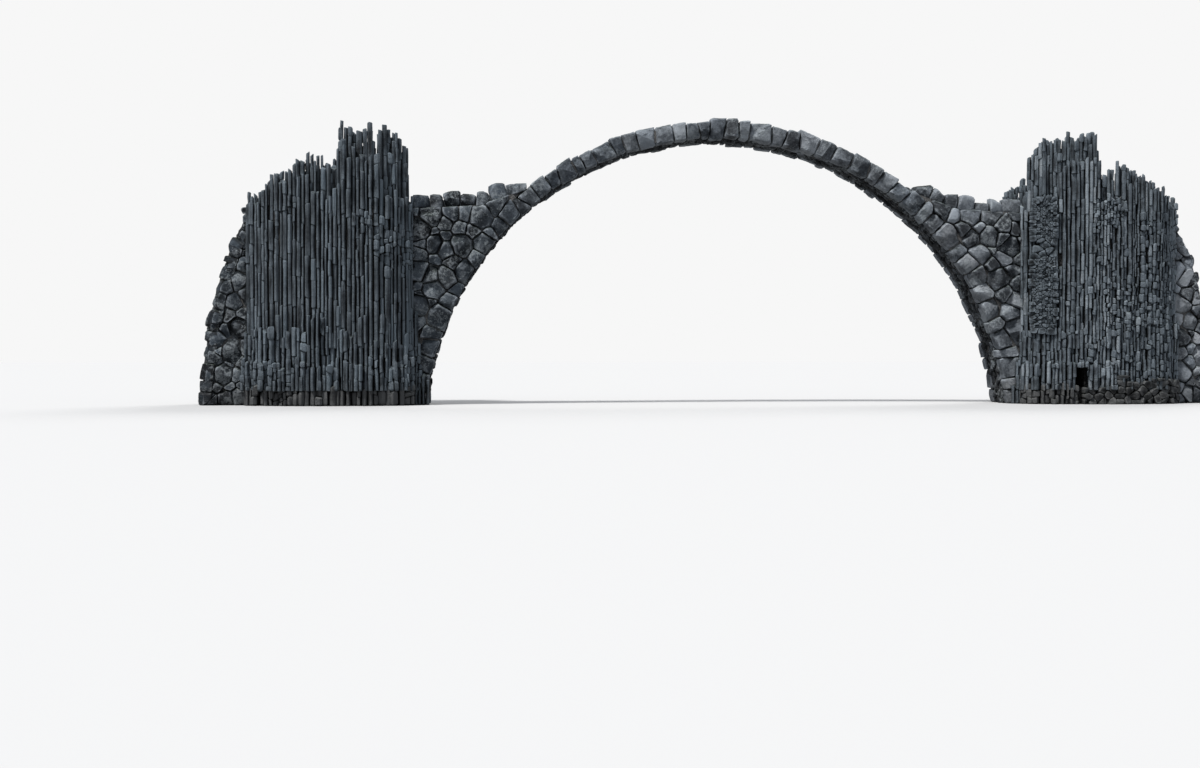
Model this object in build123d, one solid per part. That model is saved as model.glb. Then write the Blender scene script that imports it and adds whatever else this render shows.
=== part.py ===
"""Moon bridge: a high round arch of rough stone between two bastions faced with basalt columns.

Sizes are in millimetres. X runs along the path, Y from the front face to the back face and Z up
from the water line. The origin is on the water line, under the middle of the arch.
"""
from build123d import *
import math
import os
import random

# Arch ring
arch_radius = 10600
arch_centre_drop = 1050
ring_thickness = 600
bridge_width = 1900
voussoir_length = 600
voussoir_proud = 70
keystone_rise = 200

# Spandrel walls and the path over them, measured back from the bastion
spandrel_length = 4100
level_length = 2500
level_fall = 150
boulder_size = 640
boulder_proud = 150
least_boulder_rise = 0.5
smallest_boulder_share = 0.12
boulder_row_share = 0.75
boulder_side_jitter = 0.13
boulder_height_jitter = 0.1
boulder_seat_share = 0.94
boulder_head_share = 0.78
kerb_length = 470
kerb_height = 380
kerb_height_range = (0.7, 1.15)
kerb_lean_range = (0.06, 0.14)
kerb_width = 330
paving_thickness = 120
flagstone_length = 620

# Bastions
foot_trim = 50
bastion_length = 5700
bastion_depth = 3900
platform_height = 6950
plinth_height = 620
plinth_step = 60
plinth_flute_pitch = 240
plinth_flute_depth = 60
lower_lift_top = 3000
lower_lift_step = 80
column_pitch = 165
column_depth = 190
shallowest_column = 0.8
column_shoulder = 0.6
column_ridge_spread = 0.4
column_height_spread = 170
column_top_slope = 0.6
spire_sides = 5
spire_pitch = 180
spire_height_spread = 220
spire_top_slope = 0.8
path_clearance = 120

# Drain outlet in the front of the right bastion
outlet_distance = 1700
outlet_height = 700
outlet_depth = 900
outlet_slot_width = 100

# Wing walls at the outer ends, their sloping end as shares of the length and of the height
wing_length = 1800
wing_drop = 250
wing_thickness = 2050
wing_profile = [(1.0, 0.0), (0.8, 0.45), (0.35, 0.85), (0.0, 1.0)]

# Joint left open between neighbouring stones
joint = 12

# Plan of a bastion's front half, as shares of its length and of half its depth
bastion_plan = [(0.0, 0.62), (0.08, 0.84), (0.22, 0.96), (0.56, 1.0), (0.85, 0.86), (1.0, 0.56)]

# Tops of the columns, as distance from the bastion's inner face and height over its platform
facing_profile = [
    (0, 300), (900, 450), (1000, 1550), (2300, 1950), (2400, 550),
    (3400, 350), (3500, 1150), (4800, 950), (5300, 250), (5700, 200),
]
spire_profile_front = [
    (0, 1750), (250, 2450), (700, 2750), (2400, 2900), (2500, 1700),
    (3500, 1800), (4000, 1350), (4700, 1100), (5100, 500),
]
spire_profile_back = [(0, 950), (1500, 1550), (2400, 2250), (3900, 1550), (5100, 550)]

# Rows of spires, as distance in from the platform's edge, start along it and drop of their tops
spire_rows = 2
spire_row_inset = 170
first_spire_row = 0.6
first_spire_step = 1.2
spire_row_drop = 150

half_width = bridge_width / 2
half_depth = bastion_depth / 2
ring_outer = arch_radius + ring_thickness
bastion_start = math.sqrt(ring_outer**2 - arch_centre_drop**2) - foot_trim
bastion_end = bastion_start + bastion_length
deck_break_x = bastion_start - spandrel_length

SIDES = {"left": -1, "right": 1}
FACES = {"front": -1, "back": 1}


def prism(outline, low, high):
    """An upright prism on a plan outline of (x, y) points."""
    return Pos(0, 0, low) * extrude(make_face(Polyline(*outline, close=True)), high - low, dir=(0, 0, 1))


def split_prism(outline, low, high, slope):
    """An upright prism whose top is split off at a slope through its middle, given along X and Y."""
    middle = mean_point(outline)
    foot = [(x, y, low) for x, y in outline]
    head = [(x, y, high + slope[0] * (x - middle[0]) + slope[1] * (y - middle[1])) for x, y in outline]
    return ruled_stone(foot, head)


def ruled_stone(foot, head):
    """A stone with flat sides between two flat outlines of as many corners."""
    faces = [flat_face(foot), flat_face(head)]
    for i in range(len(foot)):
        faces.append(flat_face([foot[i - 1], foot[i], head[i], head[i - 1]]))
    return Solid(Shell(faces))


def any_slope(draw, steepest):
    """A slope to any side, up to the steepest."""
    rise = draw.uniform(0, steepest)
    turn = draw.uniform(0, math.tau)
    return (rise * math.cos(turn), rise * math.sin(turn))


def slab(outline, front, back):
    """A prism along Y on an elevation outline of (x, z) points."""
    face = make_face(Polyline(*[(x, front, z) for x, z in outline], close=True))
    return extrude(face, back - front, dir=(0, 1, 0))


def flipped(outline, x_sign, y_sign=1):
    """The outline mirrored to the left half or to the back half."""
    return [(x_sign * u, y_sign * v) for u, v in outline]


def clipped(outline, keep):
    """The part of a convex outline where keep(point) is positive; keep is linear."""
    kept = []
    for here, after in zip(outline, outline[1:] + outline[:1]):
        a, b = keep(here), keep(after)
        if a >= 0:
            kept.append(here)
        if a * b < 0:
            t = a / (a - b)
            kept.append((here[0] + t * (after[0] - here[0]), here[1] + t * (after[1] - here[1])))
    return kept


def height_at(profile, distance):
    """Height of a stepped outline at a distance along it, by straight lines between its points."""
    for (d0, h0), (d1, h1) in zip(profile, profile[1:]):
        if distance <= d1:
            return h0 + (h1 - h0) * max(0, distance - d0) / (d1 - d0)
    return profile[-1][1]


def ring_point(radius, angle):
    """A point of the arch's elevation, at an angle above the horizontal."""
    return (radius * math.cos(angle), radius * math.sin(angle) - arch_centre_drop)


def joint_angles():
    """Angles of the radial joints, from the right foot over the crown to the left foot."""
    first = math.asin(arch_centre_drop / ring_outer)
    sweep = math.pi - 2 * first
    pairs = int((arch_radius + ring_thickness / 2) * sweep / voussoir_length / 2)
    count = 2 * pairs + 1
    return [first + sweep * i / count for i in range(count + 1)]


def voussoir(low_angle, high_angle, rise, front, back):
    """One wedge stone of the ring, cut off at the water line and at the bastions' inner faces."""
    outline = [
        ring_point(arch_radius, low_angle),
        ring_point(ring_outer + rise, low_angle),
        ring_point(ring_outer + rise, high_angle),
        ring_point(arch_radius, high_angle),
    ]
    outline = clipped(outline, lambda p: p[1])
    outline = clipped(outline, lambda p: bastion_start - abs(p[0]))
    return slab(outline, front, back)


def arch_ring():
    """The ring in nine stretches, each of several wedge stones that stand proud by uneven amounts."""
    names = ["right_foot", "right_lower_haunch", "right_upper_haunch", "right_shoulder", "crown",
             "left_shoulder", "left_upper_haunch", "left_lower_haunch", "left_foot"]
    draw = random.Random(3)
    angles = joint_angles()
    count = len(angles) - 1
    middle = count // 2
    stretches = {name: None for name in names}
    for i in range(count):
        low, high = angles[i], angles[i + 1]
        free = abs(ring_point(ring_outer, (low + high) / 2)[0]) < deck_break_x - voussoir_length
        rise = draw.uniform(0, voussoir_proud) if free else 0
        if abs(i - middle) <= 1:
            rise = keystone_rise
        front = -half_width - draw.uniform(0, voussoir_proud)
        back = half_width + draw.uniform(0, voussoir_proud)
        name = names[i * len(names) // count]
        stone = voussoir(low, high, rise, front, back)
        stretches[name] = stone if stretches[name] is None else stretches[name] + stone
    return {"arch_" + name: solid for name, solid in stretches.items()}


def ring_back():
    """Corners of the ring's outer face on the right half, from the foot up."""
    return [ring_point(ring_outer, a) for a in joint_angles() if a < math.pi / 2]


def ring_back_at(x):
    """The point of the ring's outer face at a distance right of the crown."""
    for a, b in zip(ring_back(), ring_back()[1:]):
        if b[0] <= x <= a[0]:
            return (x, a[1] + (a[0] - x) / (a[0] - b[0]) * (b[1] - a[1]))


def deck_line():
    """Top of the spandrel masonry from the ring down to the bastion, as (x, z) points."""
    bend = (bastion_start - level_length, platform_height + level_fall)
    return [ring_back_at(deck_break_x), bend, (bastion_start, platform_height)]


def spandrel_outline():
    """Elevation of the masonry between the ring, the path and the right bastion."""
    seat = [p for p in ring_back() if deck_break_x < p[0] < bastion_start]
    return [ring_back_at(bastion_start)] + seat + deck_line()


def spandrel(x_sign):
    """The solid masonry that carries the path from the ring to a bastion."""
    return slab(flipped(spandrel_outline(), x_sign), -half_width, half_width)


def along_deck(length):
    """Even stretches of about this length along the sloping path, as pairs of (x, z) points."""
    line = deck_line()
    stretches = []
    for a, b in zip(line, line[1:]):
        count = max(1, round(math.dist(a, b) / length))
        for i in range(count):
            ends = []
            for share in (i / count, (i + 1) / count):
                ends.append((a[0] + share * (b[0] - a[0]), a[1] + share * (b[1] - a[1])))
            stretches.append(ends)
    return stretches


def standing_on(ends, height, lean):
    """Elevation of a stone on a stretch of the path: a joint at each end and a top drawn in by lean."""
    (x0, z0), (x1, z1) = ends
    slope = (z1 - z0) / (x1 - x0)
    left, right = x0 + joint / 2, x1 - joint / 2
    foot = [(left, z0 + slope * joint / 2), (right, z1 - slope * joint / 2)]
    head = [(right - lean, foot[1][1] + height), (left + lean, foot[0][1] + height)]
    return foot + head


def kerbs(x_sign, y_sign):
    """Rough kerb stones along one edge of the path."""
    draw = random.Random(20 + 4 * x_sign + 2 * y_sign)
    near, far = sorted((y_sign * half_width, y_sign * (half_width - kerb_width)))
    stones = []
    for ends in along_deck(kerb_length):
        height = kerb_height * draw.uniform(*kerb_height_range)
        lean = kerb_length * draw.uniform(*kerb_lean_range)
        outline = standing_on(ends, height, lean)
        stones.append(slab(flipped(outline, x_sign), near, far))
    return stones


def flagstones(x_sign):
    """Flat stones of the path between the kerbs."""
    reach = half_width - kerb_width - joint
    return [
        slab(flipped(standing_on(ends, paving_thickness, 0), x_sign), -reach, reach)
        for ends in along_deck(flagstone_length)
    ]


def core_chain():
    """Back half of a right bastion's core in plan, from its inner face to its outer end."""
    return [(bastion_start + u * bastion_length, v * half_depth) for u, v in bastion_plan]


def crossing(point_a, way_a, point_b, way_b):
    """Where two lines in plan meet."""
    turn = way_a[0] * way_b[1] - way_a[1] * way_b[0]
    t = ((point_b[0] - point_a[0]) * way_b[1] - (point_b[1] - point_a[1]) * way_b[0]) / turn
    return (point_a[0] + t * way_a[0], point_a[1] + t * way_a[1])


def moved_out(chain, distance):
    """The chain moved outwards, still ending on the bastion's inner face and outer end."""
    lines = [((chain[0][0], 0), (0, 1))]
    for a, b in zip(chain, chain[1:]):
        length = math.dist(a, b)
        way = ((b[0] - a[0]) / length, (b[1] - a[1]) / length)
        lines.append(((a[0] - way[1] * distance, a[1] + way[0] * distance), way))
    lines.append(((chain[-1][0], 0), (0, 1)))
    return [crossing(*first, *second) for first, second in zip(lines, lines[1:])]


def beside(place, across, outward):
    """A plan point near a column's place: across along the core's face, outward away from it."""
    start, way, middle, _ = place
    along = middle + across
    return (start[0] + way[0] * along - way[1] * outward, start[1] + way[1] * along + way[0] * outward)


def column_plan(place, depth, ridge):
    """Plan of a five-sided column: its back flat against the core and its ridge off the middle."""
    half = place[3] / 2
    side = column_shoulder * depth
    shape = [(-half, 0), (-half, side), (ridge * half, depth), (half, side), (half, 0)]
    return [beside(place, across, outward) for across, outward in shape]


def block_plan(place, width, inner, outer):
    """Plan of a square block at a column's place, from inner to outer away from the core's face."""
    shape = [(-width / 2, inner), (-width / 2, outer), (width / 2, outer), (width / 2, inner)]
    return [beside(place, across, outward) for across, outward in shape]


def column_places():
    """Start, direction, middle and width of each column along the core's back half."""
    places = []
    chain = core_chain()
    for a, b in zip(chain, chain[1:]):
        length = math.dist(a, b)
        way = ((b[0] - a[0]) / length, (b[1] - a[1]) / length)
        count = max(1, int(length / column_pitch))
        for i in range(count):
            places.append((a, way, (i + 0.5) * length / count, length / count - joint))
    return places


def outlet_columns():
    """The two neighbouring columns whose feet make way for the drain outlet."""
    places = column_places()
    pairs = [pair for pair in zip(places, places[1:]) if pair[0][0] == pair[1][0]]
    wanted = bastion_start + outlet_distance
    return min(pairs, key=lambda pair: abs(beside(pair[0], pair[0][3] / 2, 0)[0] - wanted))


def outlet_place():
    """Place of the drain outlet, as wide as its two columns."""
    first, second = outlet_columns()
    start, way, middle, width = first
    return (start, way, (middle + second[2]) / 2, second[2] - middle + width)


def has_outlet(x_sign, y_sign):
    """The drain comes out of the front of the right bastion only."""
    return x_sign == SIDES["right"] and y_sign == FACES["front"]


def facing(x_sign, y_sign, lower):
    """The row of columns against one half of a core: the lower lift, or the upper one on top of it."""
    draw = random.Random(40 + 4 * x_sign + 2 * y_sign + lower)
    columns = []
    for place in column_places():
        distance = beside(place, 0, 0)[0] - bastion_start
        depth = column_depth * draw.uniform(shallowest_column, 1)
        ridge = draw.uniform(-column_ridge_spread, column_ridge_spread)
        slope = (0, 0)
        if lower:
            depth += lower_lift_step
            low, high = plinth_height, lower_lift_top
            if has_outlet(x_sign, y_sign) and place in outlet_columns():
                low += outlet_height
        else:
            spread = draw.uniform(-column_height_spread, column_height_spread)
            low, high = lower_lift_top, platform_height + height_at(facing_profile, distance) + spread
            slope = any_slope(draw, column_top_slope)
        outline = column_plan(place, depth, ridge)
        columns.append(split_prism(flipped(outline, x_sign, y_sign), low, high, slope))
    return columns


def plinth(x_sign):
    """The stone course round the foot of a bastion, in a front and a back half."""
    chain = core_chain()
    valleys = moved_out(chain, column_depth + lower_lift_step + plinth_step)
    outer = fluted(valleys, plinth_flute_pitch, plinth_flute_depth)
    halves = []
    for y_sign in FACES.values():
        half = prism(flipped(chain + outer[::-1], x_sign, y_sign), 0, plinth_height)
        if has_outlet(x_sign, y_sign):
            slot = block_plan(outlet_place(), outlet_slot_width, 0, bastion_depth)
            half = half - prism(flipped(slot, x_sign, y_sign), 0, plinth_height)
        halves += half.solids()
    return halves


def fluted(chain, pitch, depth):
    """The chain with a ridge of the given depth in the middle of each even step along it."""
    points = [chain[0]]
    for a, b in zip(chain, chain[1:]):
        length = math.dist(a, b)
        way = ((b[0] - a[0]) / length, (b[1] - a[1]) / length)
        count = max(1, round(length / pitch))
        for i in range(count):
            place = (a, way, (i + 0.5) * length / count, length / count)
            points.append(beside(place, 0, depth))
            points.append(beside(place, place[3] / 2, 0))
    return points


def core(x_sign):
    """The masonry mass of a bastion, with the drain's chamber in the right one."""
    chain = core_chain()
    outline = chain + [(x, -y) for x, y in reversed(chain)]
    mass = prism(flipped(outline, x_sign), 0, platform_height)
    if x_sign == SIDES["right"]:
        place = outlet_place()
        chamber = flipped(block_plan(place, place[3], -outlet_depth, joint), x_sign, FACES["front"])
        mass = mass - prism(chamber, plinth_height, plinth_height + outlet_height)
    return mass


def spires(x_sign, y_sign):
    """Free-standing columns in staggered rows along one edge of a bastion's platform."""
    draw = random.Random(60 + 4 * x_sign + 2 * y_sign)
    profile = spire_profile_front if y_sign == FACES["front"] else spire_profile_back
    radius = (spire_pitch - joint) / 2
    columns = []
    for row in range(spire_rows):
        chain = moved_out(core_chain(), -spire_row_inset * (row + first_spire_row))
        for place in stepping(chain, spire_pitch, spire_pitch * (row + first_spire_step) / 2):
            turn = draw.uniform(0, math.pi)
            spread = draw.uniform(-spire_height_spread, spire_height_spread)
            rise = height_at(profile, place[0] - bastion_start) + spread - spire_row_drop * row
            outline = [around(place, radius, turn + i * math.tau / spire_sides) for i in range(spire_sides)]
            slope = any_slope(draw, spire_top_slope)
            outline = flipped(outline, x_sign, y_sign)
            columns.append(split_prism(outline, platform_height, platform_height + rise, slope))
    return columns


def around(middle, radius, angle):
    """A plan point on a circle round the middle."""
    return (middle[0] + radius * math.cos(angle), middle[1] + radius * math.sin(angle))


def stepping(chain, step, start):
    """Points at even steps along a chain, the first at a distance from its start."""
    places = []
    travelled = start
    passed = 0
    for a, b in zip(chain, chain[1:]):
        length = math.dist(a, b)
        while travelled <= passed + length:
            share = (travelled - passed) / length
            places.append((a[0] + share * (b[0] - a[0]), a[1] + share * (b[1] - a[1])))
            travelled += step
        passed += length
    return [p for p in places if p[0] < bastion_end - spire_pitch]


def platform_paving(x_sign):
    """Flat stones on top of a core, between the rows of spires."""
    reach = spire_rows * spire_row_inset + path_clearance
    chain = moved_out(core_chain(), -reach)
    outline = chain + [(x, -y) for x, y in reversed(chain)]
    return prism(flipped(outline, x_sign), platform_height, platform_height + paving_thickness)


def wing_wall(x_sign):
    """The boulder wall that runs on from a bastion's outer end and steps down away from it."""
    top = platform_height - wing_drop
    outline = [(bastion_end, 0)] + [(bastion_end + u * wing_length, v * top) for u, v in wing_profile]
    return slab(flipped(outline, x_sign), -wing_thickness / 2, wing_thickness / 2)


def boulder_cells(outline):
    """Uneven six-sided cells that share their corners, cut to an elevation outline."""
    draw = random.Random(7)
    xs, zs = [p[0] for p in outline], [p[1] for p in outline]
    columns = int((max(xs) - min(xs)) / boulder_size) + 2
    rows = int((max(zs) - min(zs)) / (boulder_size * boulder_row_share)) + 2
    sideways = boulder_size * boulder_side_jitter
    upwards = boulder_size * boulder_height_jitter
    corners = {}

    def corner(i, j):
        """A corner of the honeycomb, moved a little, the same for every cell that shares it."""
        if (i, j) not in corners:
            x = min(xs) + i * boulder_size / 2 + draw.uniform(-sideways, sideways)
            z = min(zs) + j * boulder_size * boulder_row_share / 3 + draw.uniform(-upwards, upwards)
            corners[i, j] = (x, z)
        return corners[i, j]

    cells = []
    for row in range(rows):
        for column in range(-1, columns):
            i = 2 * column + row % 2
            j = 3 * row
            steps = [(0, -2), (1, -1), (1, 1), (0, 2), (-1, 1), (-1, -1)]
            cells.append([corner(i + u, j + v) for u, v in steps])
    return cells


def facing_boulders(x_sign, y_sign):
    """Boulders set against one face of a spandrel, each a low frustum with its own rise."""
    draw = random.Random(80 + 4 * x_sign + 2 * y_sign)
    outline = spandrel_outline()
    region = make_face(Polyline(*outline, close=True))
    stones = []
    for cell in boulder_cells(outline):
        kept = region & make_face(Polyline(*drawn_in(cell, boulder_seat_share), close=True))
        for piece in kept.faces() if kept else []:
            rise = boulder_proud * draw.uniform(least_boulder_rise, 1)
            if piece.area > smallest_boulder_share * boulder_size**2:
                rim = flipped(corners_of(piece), x_sign)
                stones.append(frustum(rim, y_sign * half_width, y_sign * rise))
    return stones


def corners_of(face):
    """The corners of a flat face in order, as (x, y) points."""
    return [tuple(edge @ 0)[:2] for edge in face.outer_wire().order_edges()]


def frustum(outline, seat, rise):
    """A low stone on the plane y = seat, whose outer face is drawn in round its middle."""
    foot = [(x, seat, z) for x, z in outline]
    head = [(x, seat + rise, z) for x, z in drawn_in(outline, boulder_head_share)]
    return ruled_stone(foot, head)


def drawn_in(outline, share):
    """The outline made smaller round its middle."""
    u0, v0 = mean_point(outline)
    return [(u0 + share * (u - u0), v0 + share * (v - v0)) for u, v in outline]


def mean_point(outline):
    """Mean of an outline's corners."""
    return (sum(p[0] for p in outline) / len(outline), sum(p[1] for p in outline) / len(outline))


def flat_face(points):
    """A flat face on a closed outline."""
    return Face(Wire.make_polygon(points, close=True))


def write_node(name, shape):
    """Writes one node, its loose solids in a compound."""
    solids = shape if isinstance(shape, list) else shape.solids()
    export_step(solids[0] if len(solids) == 1 else Compound(children=list(solids)), f"parts/{name}.step")


os.makedirs("parts", exist_ok=True)
for name, solid in arch_ring().items():
    write_node(name, solid)
for side, x_sign in SIDES.items():
    write_node(side + "_spandrel_core", spandrel(x_sign))
    write_node(side + "_path_flagstones", flagstones(x_sign))
    write_node(side + "_bastion_core", core(x_sign))
    write_node(side + "_bastion_plinth", plinth(x_sign))
    write_node(side + "_platform_paving", platform_paving(x_sign))
    write_node(side + "_wing_wall", wing_wall(x_sign))
    for face, y_sign in FACES.items():
        write_node(f"{side}_{face}_kerb_stones", kerbs(x_sign, y_sign))
        write_node(f"{side}_{face}_spandrel_boulders", facing_boulders(x_sign, y_sign))
        write_node(f"{side}_{face}_lower_columns", facing(x_sign, y_sign, True))
        write_node(f"{side}_{face}_upper_columns", facing(x_sign, y_sign, False))
        write_node(f"{side}_{face}_spires", spires(x_sign, y_sign))
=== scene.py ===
import collections
import math
import random

import bpy
from mathutils import Matrix, Vector, noise


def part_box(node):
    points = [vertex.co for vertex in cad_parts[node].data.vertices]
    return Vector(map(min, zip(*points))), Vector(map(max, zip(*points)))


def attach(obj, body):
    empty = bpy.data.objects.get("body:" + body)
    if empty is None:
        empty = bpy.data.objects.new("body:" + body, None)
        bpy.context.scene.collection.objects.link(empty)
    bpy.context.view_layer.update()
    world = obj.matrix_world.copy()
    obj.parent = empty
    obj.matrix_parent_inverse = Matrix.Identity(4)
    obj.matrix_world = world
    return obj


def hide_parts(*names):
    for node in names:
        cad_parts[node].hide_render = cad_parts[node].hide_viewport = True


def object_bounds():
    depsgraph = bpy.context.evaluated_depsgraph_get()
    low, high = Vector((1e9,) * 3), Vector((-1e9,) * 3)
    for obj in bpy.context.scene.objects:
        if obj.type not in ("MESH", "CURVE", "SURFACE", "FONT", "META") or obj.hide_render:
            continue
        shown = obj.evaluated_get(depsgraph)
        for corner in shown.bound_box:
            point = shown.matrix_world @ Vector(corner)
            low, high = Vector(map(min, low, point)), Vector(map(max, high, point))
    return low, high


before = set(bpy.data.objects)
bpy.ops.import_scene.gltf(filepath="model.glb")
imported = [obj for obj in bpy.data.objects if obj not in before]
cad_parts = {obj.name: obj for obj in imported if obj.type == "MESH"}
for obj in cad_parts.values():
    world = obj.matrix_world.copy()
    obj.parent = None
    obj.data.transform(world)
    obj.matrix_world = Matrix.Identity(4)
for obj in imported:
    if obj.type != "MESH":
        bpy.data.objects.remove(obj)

cad_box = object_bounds()

# Sizes of the bridge, in metres, from the frame and the part's own dimensions
CORE_LOW, CORE_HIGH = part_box("right_bastion_core")
SPANDREL_LOW, SPANDREL_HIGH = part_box("right_spandrel_core")
WING_LOW, WING_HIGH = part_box("right_wing_wall")
PAVING_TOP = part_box("right_platform_paving")[1].z
BASTION_START = CORE_LOW.x
BASTION_LENGTH = CORE_HIGH.x - CORE_LOW.x
BASTION_END = BASTION_START + BASTION_LENGTH
HALF_DEPTH = CORE_HIGH.y
PLATFORM = CORE_HIGH.z
HALF_WIDTH = SPANDREL_HIGH.y
DECK_BREAK = SPANDREL_LOW.x
RADIUS = 10.6
CENTRE_DROP = 1.05
RING = 0.6
RING_OUTER = RADIUS + RING
KERB_WIDTH = 0.33
KERB_HEIGHT = 0.38
LEVEL_LENGTH = 2.5
LEVEL_FALL = 0.15
PLINTH_TOP = 0.62
LOWER_TOP = 3.0
OUTLET_X = 12.893
OUTLET_SLOT_X = 12.875
OUTLET_WIDTH = 0.33
OUTLET_TOP = 1.32
OUTLET_SLOT = 0.15

SIDES = {"left": -1, "right": 1}
FACES = {"front": -1, "back": 1}

# Plan of a bastion's back half, as shares of its length and of half its depth, and in metres
BASTION_PLAN = [(0.0, 0.62), (0.08, 0.84), (0.22, 0.96), (0.56, 1.0), (0.85, 0.86), (1.0, 0.56)]
CORE_CHAIN = [(BASTION_START + u * BASTION_LENGTH, v * HALF_DEPTH) for u, v in BASTION_PLAN]

# The line that the columns follow: a short return on the inner face, then the core
FACING_CHAIN = [(BASTION_START, HALF_WIDTH + 0.14)] + CORE_CHAIN

# Stretches of the arch ring, from the right foot over the crown to the left foot
STRETCHES = ["right_foot", "right_lower_haunch", "right_upper_haunch", "right_shoulder", "crown",
             "left_shoulder", "left_upper_haunch", "left_lower_haunch", "left_foot"]
FIRST_ANGLE = math.asin(CENTRE_DROP / RING_OUTER)
SWEEP = math.pi - 2 * FIRST_ANGLE

TINY = 1e-6


# Working on meshes

def deselect():
    """Leaves nothing selected."""
    bpy.ops.object.select_all(action="DESELECT")


def select_only(obj):
    """Selects one object and makes it active."""
    deselect()
    obj.select_set(True)
    bpy.context.view_layer.objects.active = obj


def edit(obj):
    """Goes into edit mode with all of the object's mesh selected."""
    select_only(obj)
    bpy.ops.object.mode_set(mode="EDIT")
    bpy.ops.mesh.select_all(action="SELECT")


def leave_edit():
    """Goes back to object mode."""
    bpy.ops.object.mode_set(mode="OBJECT")


def give_tone(mesh, tone):
    """Writes one tone to all points of a mesh."""
    shade = mesh.attributes.new("tone", "FLOAT", "POINT")
    shade.data.foreach_set("value", [tone] * len(mesh.vertices))


def stone_copy(master, place, tone):
    """A copy of a master with its own mesh, each point put in place, and its own tone."""
    copy = bpy.data.objects.new("stone", master.data.copy())
    bpy.context.collection.objects.link(copy)
    for vertex in copy.data.vertices:
        vertex.co = place(vertex.co)
    give_tone(copy.data, tone)
    return copy


def joined(name, parts):
    """One object made of several."""
    deselect()
    for part in parts:
        part.select_set(True)
    bpy.context.view_layer.objects.active = parts[0]
    bpy.ops.object.join()
    whole = bpy.context.object
    whole.name = name
    whole.data.name = name
    return whole


def roughened(obj, label, size, strength, sideways=False):
    """Pushes the surface in and out, or to all sides, by a soft noise of the given size."""
    texture = bpy.data.textures.new(label, type="CLOUDS")
    texture.noise_scale = size
    texture.noise_depth = 2
    texture.cloud_type = "COLOR" if sideways else "GRAYSCALE"
    select_only(obj)
    push = obj.modifiers.new(label, "DISPLACE")
    push.texture = texture
    push.texture_coords = "GLOBAL"
    push.direction = "RGB_TO_XYZ" if sideways else "NORMAL"
    push.mid_level = 0.5
    push.strength = strength
    bpy.ops.object.modifier_apply(modifier=push.name)


def finished(obj, node, smooth_angle, material=None):
    """Keeps a piece in the part's box, gives it its material, shading and body, and hides the CAD node that
    it stands for.
    """
    low, high = cad_box
    for vertex in obj.data.vertices:
        vertex.co = [min(max(c, a), b) for c, a, b in zip(vertex.co, low, high)]
    select_only(obj)
    if material:
        obj.data.materials.clear()
        obj.data.materials.append(material)
    bpy.ops.object.shade_smooth_by_angle(angle=math.radians(smooth_angle))
    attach(obj, "root")
    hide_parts(node)


# Random amounts, lines and flat outlines; a line is a point and its normal

NEIGHBOUR_REACH = 2.5
SCATTER_TRIES = 40


def sway(draw, reach):
    """A random amount up to a reach either way."""
    return draw.uniform(-reach, reach)


def kept_share(value):
    """A share kept between 0 and 1."""
    return min(1, max(0, value))


def turned(direction, angle):
    """A flat direction turned by an angle."""
    cos, sin = math.cos(angle), math.sin(angle)
    return (direction[0] * cos - direction[1] * sin, direction[0] * sin + direction[1] * cos)


def beyond(line, p):
    """How far a point lies on the side of a line that its normal points to."""
    point, normal = line
    return (p[0] - point[0]) * normal[0] + (p[1] - point[1]) * normal[1]


def sides_of(outline):
    """Each side of an outline, as its two corners."""
    return zip(outline, outline[1:] + outline[:1])


def clipped(outline, line):
    """The part of a convex outline on the side of a line that its normal points to."""
    kept = []
    for here, after in sides_of(outline):
        a, b = beyond(line, here), beyond(line, after)
        if a >= 0:
            kept.append(here)
        if a * b < 0:
            t = a / (a - b)
            kept.append((here[0] + t * (after[0] - here[0]), here[1] + t * (after[1] - here[1])))
    return kept


def centre_of(outline):
    """Mean of an outline's corners."""
    return (sum(p[0] for p in outline) / len(outline), sum(p[1] for p in outline) / len(outline))


def area_of(outline):
    """Area of an outline."""
    return abs(sum(a[0] * b[1] - a[1] * b[0] for a, b in sides_of(outline))) / 2


def outline_lines(outline):
    """Lines along the sides of a convex outline, their normals pointing in."""
    middle = centre_of(outline)
    lines = []
    for a, b in sides_of(outline):
        length = math.dist(a, b)
        if length < TINY:
            continue
        normal = (-(b[1] - a[1]) / length, (b[0] - a[0]) / length)
        if beyond((a, normal), middle) < 0:
            normal = (-normal[0], -normal[1])
        lines.append((a, normal))
    return lines


def box_lines(low, high):
    """Lines along the sides of a box, their normals pointing in."""
    return [(low, (1, 0)), (low, (0, 1)), (high, (-1, 0)), (high, (0, -1))]


def inside(p, lines):
    """Whether a point lies within all lines."""
    return all(beyond(line, p) > 0 for line in lines)


def anywhere(_):
    """Allows every place."""
    return True


def along_x(side, near, far):
    """First and last X of a stretch between two distances from the crown."""
    return (near, far) if side > 0 else (-far, -near)


def square_round(middle, reach):
    """A square outline round a point."""
    x, y = middle
    return [(x - reach, y - reach), (x + reach, y - reach), (x + reach, y + reach), (x - reach, y + reach)]


def size_share(seed):
    """A stone's own share of the difference in size, from its place."""
    return noise.cell((seed[0] * 31.7, seed[1] * 31.7, 0.5))


def cell_round(seed, neighbours, reach, gap, limits, unequal):
    """The outline that grows from a seed until it meets its neighbours' joints and the limits."""
    x, y = seed
    joints = []
    for other in neighbours:
        away = math.dist(seed, other)
        if 0 < away < NEIGHBOUR_REACH * reach:
            normal = ((x - other[0]) / away, (y - other[1]) / away)
            reached = (away + unequal * (size_share(seed) - size_share(other)) / away - gap) / 2
            joints.append(((x - normal[0] * reached, y - normal[1] * reached), normal))
    cell = square_round(seed, reach)
    for line in joints + limits:
        if len(cell) > 2:
            cell = clipped(cell, line)
    return cell


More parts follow.
